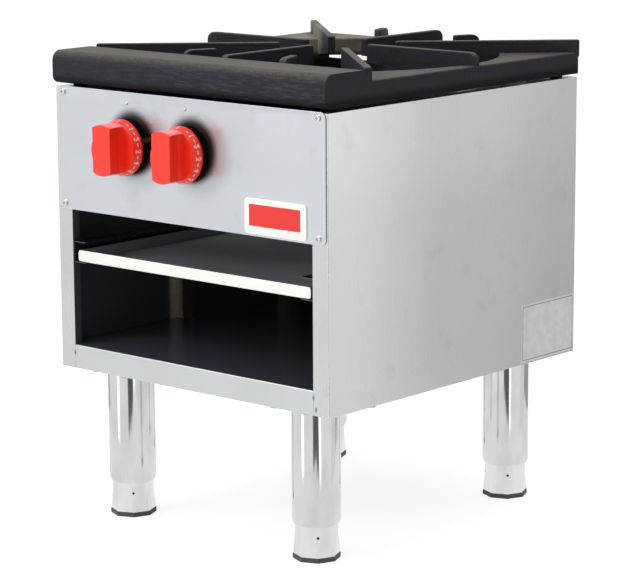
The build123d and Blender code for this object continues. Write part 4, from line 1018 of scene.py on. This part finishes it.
# Strokes of the dial's figures as (across, up) points, in hundredths of a figure's height.
FIGURE_WIDTH = 0.6
STROKES: dict[str, tuple[Stroke, ...]] = {
    "1": (((12, 80), (35, 100), (35, 0)),),
    "2": (((2, 80), (20, 100), (45, 100), (58, 80), (55, 60), (0, 0), (60, 0)),),
    "3": (((0, 100), (58, 100), (28, 60), (55, 45), (58, 20), (40, 0), (15, 0), (0, 18)),),
    "4": (((45, 0), (45, 100), (0, 30), (60, 30)),),
    "5": (((55, 100), (8, 100), (4, 60), (40, 62), (60, 40), (55, 12), (35, 0), (0, 8)),),
    "6": (((50, 100), (15, 70), (0, 30), (15, 0), (45, 0), (60, 30), (40, 52), (5, 45)),),
    "7": (((0, 100), (60, 100), (20, 0)),),
    "8": (
        ((30, 54), (8, 72), (12, 95), (30, 100), (48, 95), (52, 72), (30, 54)),
        ((30, 54), (2, 30), (8, 6), (30, 0), (52, 6), (58, 30), (30, 54)),
    ),
}


@dataclass
class Knob(Assembly):
    """One control knob: its plastic and the white dial marks on its skirt.

    Attributes:
        side: "left" or "right".
        back_radius: Radius of the skirt's back edge.
        face_radius: Radius of the skirt's front edge.
        edge: Length of the straight edge at the back of the skirt.
        depth: Length of the whole skirt along the knob's axis.
        figure: Height of a figure.
        figure_foot: How far a figure's foot lies in front of the skirt's back.
        stroke: Width of a stroke.
        lift: How far the paint stands out of the plastic.
        first: Angle of the first figure above the horizontal, in degrees.
        step: Angle from one figure to the next, in degrees.
    """

    side: str
    back_radius: float = 0.0356
    face_radius: float = 0.0312
    edge: float = 0.0020
    depth: float = 0.0125
    figure: float = 0.0050
    figure_foot: float = 0.0036
    stroke: float = 0.0013
    lift: float = 0.00012
    first: float = 50.0
    step: float = 26.0

    def __post_init__(self) -> None:
        self.axis = axis_of(f"{self.side}_knob")
        self.back_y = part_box(f"{self.side}_knob")[1].y
        self.middle = (self.back_radius + self.face_radius) / 2

    def on_skirt(self, around: np.ndarray, ahead: np.ndarray) -> Points:
        """Returns painted points of the skirt's cone, from angles (+X towards +Z) and distances ahead."""
        share = (ahead - self.edge) / (self.depth - self.edge)
        radius = self.back_radius + share * (self.face_radius - self.back_radius) + self.lift
        return (
            self.axis[0] + radius * np.cos(around),
            self.back_y - ahead,
            self.axis[1] + radius * np.sin(around),
        )

    def ribbon(self, start: Spot, end: Spot) -> Patch:
        """Returns one stroke between two points of the unrolled skirt, in metres around and ahead."""
        run = np.subtract(end, start)
        length = float(np.hypot(*run))
        along = run / length
        across = np.array([-along[1], along[0]])
        half = self.stroke / 2

        def shape(u: np.ndarray, v: np.ndarray) -> Points:
            # v runs along the stroke, half a width past both ends; u runs across it.
            reach = -half + v * (length + 2 * half)
            side = (u - 0.5) * 2 * half
            around = (start[0] + along[0] * reach + across[0] * side) / self.middle
            ahead = start[1] + along[1] * reach + across[1] * side
            return self.on_skirt(around, ahead)

        return grid_mesh(shape, 2, 4)

    def figure_spot(self, angle: float, spot: Spot) -> Spot:
        """Returns a point of the figure at this angle, in metres round the unrolled skirt and ahead."""
        across, up = (part / 100 for part in spot)
        around = angle * self.middle - (across - FIGURE_WIDTH / 2) * self.figure
        return around, self.figure_foot + up * self.figure

    def marks(self) -> list[Patch]:
        """Returns the strokes of all figures, the dashes between them and the bar of the off position."""
        patches = []
        dash_ahead = self.figure_foot + self.figure / 2
        for number, lines in enumerate(STROKES.values()):
            angle = math.radians(self.first - number * self.step)
            for line in lines:
                spots = [self.figure_spot(angle, spot) for spot in line]
                patches += [self.ribbon(start, end) for start, end in zip(spots, spots[1:])]
            between = (angle + math.radians(self.step / 2)) * self.middle
            dash = ((between - self.stroke, dash_ahead), (between + self.stroke, dash_ahead))
            patches.append(self.ribbon(*dash))
        top = math.pi / 2 * self.middle
        patches.append(self.ribbon((top, self.figure_foot), (top, self.figure_foot + self.figure)))
        return patches

    def build(self) -> None:
        """Applies the knob's finish and paints its dial."""
        self.dress(Look(MouldedPlastic("knob_plastic"), (f"{self.side}_knob",)))
        paint = MouldedPlastic("dial_paint", linear(252, 196, 180), roughness=0.5, coat=0.0)
        piece(f"{self.side}_dial_marks", self.marks(), paint, f"{self.side}_knob")


# ---- studio


def stage_mesh(name: str, low: Spot, high: Spot, height: float) -> bpy.types.Object:
    """Lays a level rectangle of the studio between its lowest and its highest X and Y."""
    outline = ((low[0], low[1]), (high[0], low[1]), (high[0], high[1]), (low[0], high[1]))
    mesh = bpy.data.meshes.new(name)
    mesh.from_pydata([(x, y, height) for x, y in outline], [], [(0, 1, 2, 3)])
    made = place(name, mesh)
    return made


@dataclass(frozen=True)
class Lamp:
    """A square soft box.

    Attributes:
        name: The light's name.
        spot: Where it hangs.
        side: Its width.
        watts: Its power.
    """

    name: str
    spot: Point
    side: float
    watts: float

    def hang(self, aim: Point) -> None:
        """Adds the light, facing a point."""
        data = bpy.data.lights.new(self.name, "AREA")
        data.shape = "SQUARE"
        data.size = self.side
        data.energy = self.watts
        made = place(self.name, data)
        made.location = self.spot
        made.rotation_euler = (Vector(aim) - Vector(self.spot)).to_track_quat("-Z", "Y").to_euler()


@dataclass(frozen=True)
class Band:
    """A stretch of the room that polished metal mirrors, over all heights.

    Attributes:
        azimuth: Its middle, in degrees from +X towards +Y.
        half_width: Half its width in degrees.
        soft: How many degrees each edge takes to fade.
        tone: How bright it is at eye level and above.
        foot: How bright it is well below eye level.
        low: The height of the directions at which the foot begins, from -1 straight down to 0 level.
    """

    azimuth: float
    half_width: float
    soft: float
    tone: float
    foot: float
    low: float = -0.42

    def mask(self, graph: Graph, flat: tuple[Signal, Signal]) -> Signal:
        """Returns 1 inside the band and 0 outside, from X and Y of a level direction one unit long."""
        angle = math.radians(self.azimuth)
        facing = flat[0] * math.cos(angle) + flat[1] * math.sin(angle)
        edge = math.cos(math.radians(self.half_width + self.soft))
        return facing.rise(edge, math.cos(math.radians(self.half_width)))

    def shade(self, height: Signal) -> Signal:
        """Returns the band's brightness at a height, from -1 straight down to 1 straight up."""
        return height.rise(self.low, 0.0) * (self.tone - self.foot) + self.foot


@dataclass
class Studio:
    """Floor, lights, surroundings and camera.

    Attributes:
        lens: The camera's focal length in millimetres.
        sensor: The width of its sensor in millimetres.
        sight: How far it sees.
        stand: The camera's place, measured from the middle of the cabinet's front face on the floor.
        yaw: How far the camera is turned from looking along +Y towards -X, in degrees.
        pitch: How far it looks down, in degrees.
        roll: Its turn about its own line of sight, in degrees.
        lamps: The soft boxes.
        aim: The point that they face.
        floor_half: Half the floor's side.
        near: The lowest and highest X and Y of the part of the floor that metal mirrors.
        near_drop: How far that part lies below the floor, so that the two never meet.
        paint: The floor's colour, which takes the shadows.
        glow: How bright the plain white is that lies over the paint.
        glow_share: How much of the white the camera and metal see; the rest is paint.
        ambient: How much light the room gives.
        bright_side: The direction that most of the room's light comes from, one unit long.
        slant: How much brighter that side is than the average, as a share of it.
        room: How bright the room is in mirror images.
        bands: The darker and brighter stretches of the mirrored room.
    """

    lens: float = 149.76
    sensor: float = 36.0
    sight: float = 50.0
    stand: Point = (2.20225, -2.27917, 0.94096)
    yaw: float = 41.2
    pitch: float = 11.101
    roll: float = -0.3067
    lamps: tuple[Lamp, ...] = (
        Lamp("key", (-1.3, -2.6, 2.2), side=1.8, watts=40.0),
        Lamp("top", (0.2, 0.2, 2.8), side=2.4, watts=22.0),
    )
    aim: Point = (0.0, 0.0, 0.4)
    floor_half: float = 14.0
    near: tuple[Spot, Spot] = ((-0.75, -0.60), (0.50, 0.70))
    near_drop: float = 0.0005
    paint: Colour = (0.93, 0.93, 0.93)
    glow: float = 1.21
    glow_share: float = 0.7
    ambient: float = 0.55
    bright_side: Point = (-0.62, -0.52, 0.59)
    slant: float = 0.75
    room: float = 0.93
    bands: tuple[Band, ...] = (
        Band(azimuth=-113, half_width=4, soft=3, tone=2.2, foot=2.2),
        Band(azimuth=-50, half_width=11, soft=4, tone=0.12, foot=0.12),
        Band(azimuth=-31, half_width=3, soft=2, tone=1.8, foot=1.8),
        Band(azimuth=76, half_width=16, soft=18, tone=0.45, foot=0.35),
        Band(azimuth=40, half_width=10, soft=8, tone=1.0, foot=0.7),
        Band(azimuth=170, half_width=6, soft=5, tone=0.35, foot=0.35),
    )

    def camera(self) -> None:
        """Sets the camera where the photograph was taken from."""
        data = bpy.data.cameras.new("camera")
        data.lens = self.lens
        data.sensor_width = self.sensor
        data.clip_end = self.sight
        made = place("camera", data)
        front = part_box("right_side_panel")[0].y
        turn = Matrix.Rotation(math.radians(self.yaw), 4, "Z")
        tip = Matrix.Rotation(math.radians(90 - self.pitch), 4, "X")
        spin = Matrix.Rotation(math.radians(self.roll), 4, "Z")
        stand = Vector(self.stand) + Vector((0, front, 0))
        made.matrix_world = Matrix.Translation(stand) @ turn @ tip @ spin
        bpy.context.scene.camera = made

    def floor_paint(self) -> bpy.types.Material:
        """Returns the floor's material: pale paint, seen by the camera as white with a faint shadow."""
        made = bpy.data.materials.new("floor_paint")
        graph = Graph(made)
        light = graph.node("ShaderNodeLightPath").outputs
        seen = Signal(graph, light["Is Camera Ray"]) + Signal(graph, light["Is Glossy Ray"])
        paint = graph.out(
            "ShaderNodeBsdfPrincipled",
            inputs={"Base Color": self.paint, "Roughness": 0.9, "Specular IOR Level": 0.1},
        )
        white = graph.out("ShaderNodeEmission", inputs={"Color": WHITE, "Strength": self.glow})
        mixed = graph.out("ShaderNodeMixShader", inputs={0: seen * self.glow_share, 1: paint, 2: white})
        graph.node("ShaderNodeOutputMaterial", inputs={"Surface": mixed})
        return made

    def floor(self) -> None:
        """Lays the floor, and the near part of it that shows in the metal."""
        reach = self.floor_half
        paint = self.floor_paint()
        wide = stage_mesh("floor", (-reach, -reach), (reach, reach), 0.0)
        wide.data.materials.append(paint)
        wide.visible_glossy = False
        close = stage_mesh("floor_near", *self.near, -self.near_drop)
        close.data.materials.append(paint)
        close.visible_camera = False
        close.visible_diffuse = False
        close.visible_shadow = False

    def surroundings(self) -> None:
        """Sets the even light of the room and what metal mirrors of it; the camera sees plain white."""
        world = bpy.data.worlds.new("room")
        bpy.context.scene.world = world
        graph = Graph(world)
        x, y, z = graph.axes(graph.out("ShaderNodeTexCoord", output="Generated"))
        # The level part of a direction is scaled to one unit; straight up and down it is held above zero.
        level = (x * x + y * y).root().larger(0.001)
        flat = (x / level, y / level)
        tone: Signal | float = self.room
        for band in self.bands:
            mask = band.mask(graph, flat)
            tone = tone * (1.0 - mask) + mask * band.shade(z)
        light = graph.node("ShaderNodeLightPath").outputs
        camera, glossy = (Signal(graph, light[name]) for name in ("Is Camera Ray", "Is Glossy Ray"))
        toward = sum(part * share for part, share in zip((x, y, z), self.bright_side))
        spread = (toward * self.slant + 1.0) * self.ambient
        strength = camera + glossy * tone + (1.0 - camera - glossy) * spread
        shader = graph.out("ShaderNodeBackground", inputs={"Color": WHITE, "Strength": strength})
        graph.node("ShaderNodeOutputWorld", inputs={"Surface": shader})

    def build(self) -> None:
        """Sets up the whole studio."""
        bpy.context.scene.view_settings.view_transform = "Standard"
        self.camera()
        self.floor()
        for lamp in self.lamps:
            lamp.hang(self.aim)
        self.surroundings()


def main() -> None:
    """Builds the picture from the frame."""
    logging.basicConfig(level=logging.INFO, format="%(message)s")
    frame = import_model()
    Cabinet(frame).build()
    GasTrain(frame).build()
    CastTop(frame).build()
    Legs(frame).build()
    for side in SIDES:
        Knob(frame, side).build()
    Studio().build()


if __name__ == "__main__":
    main()
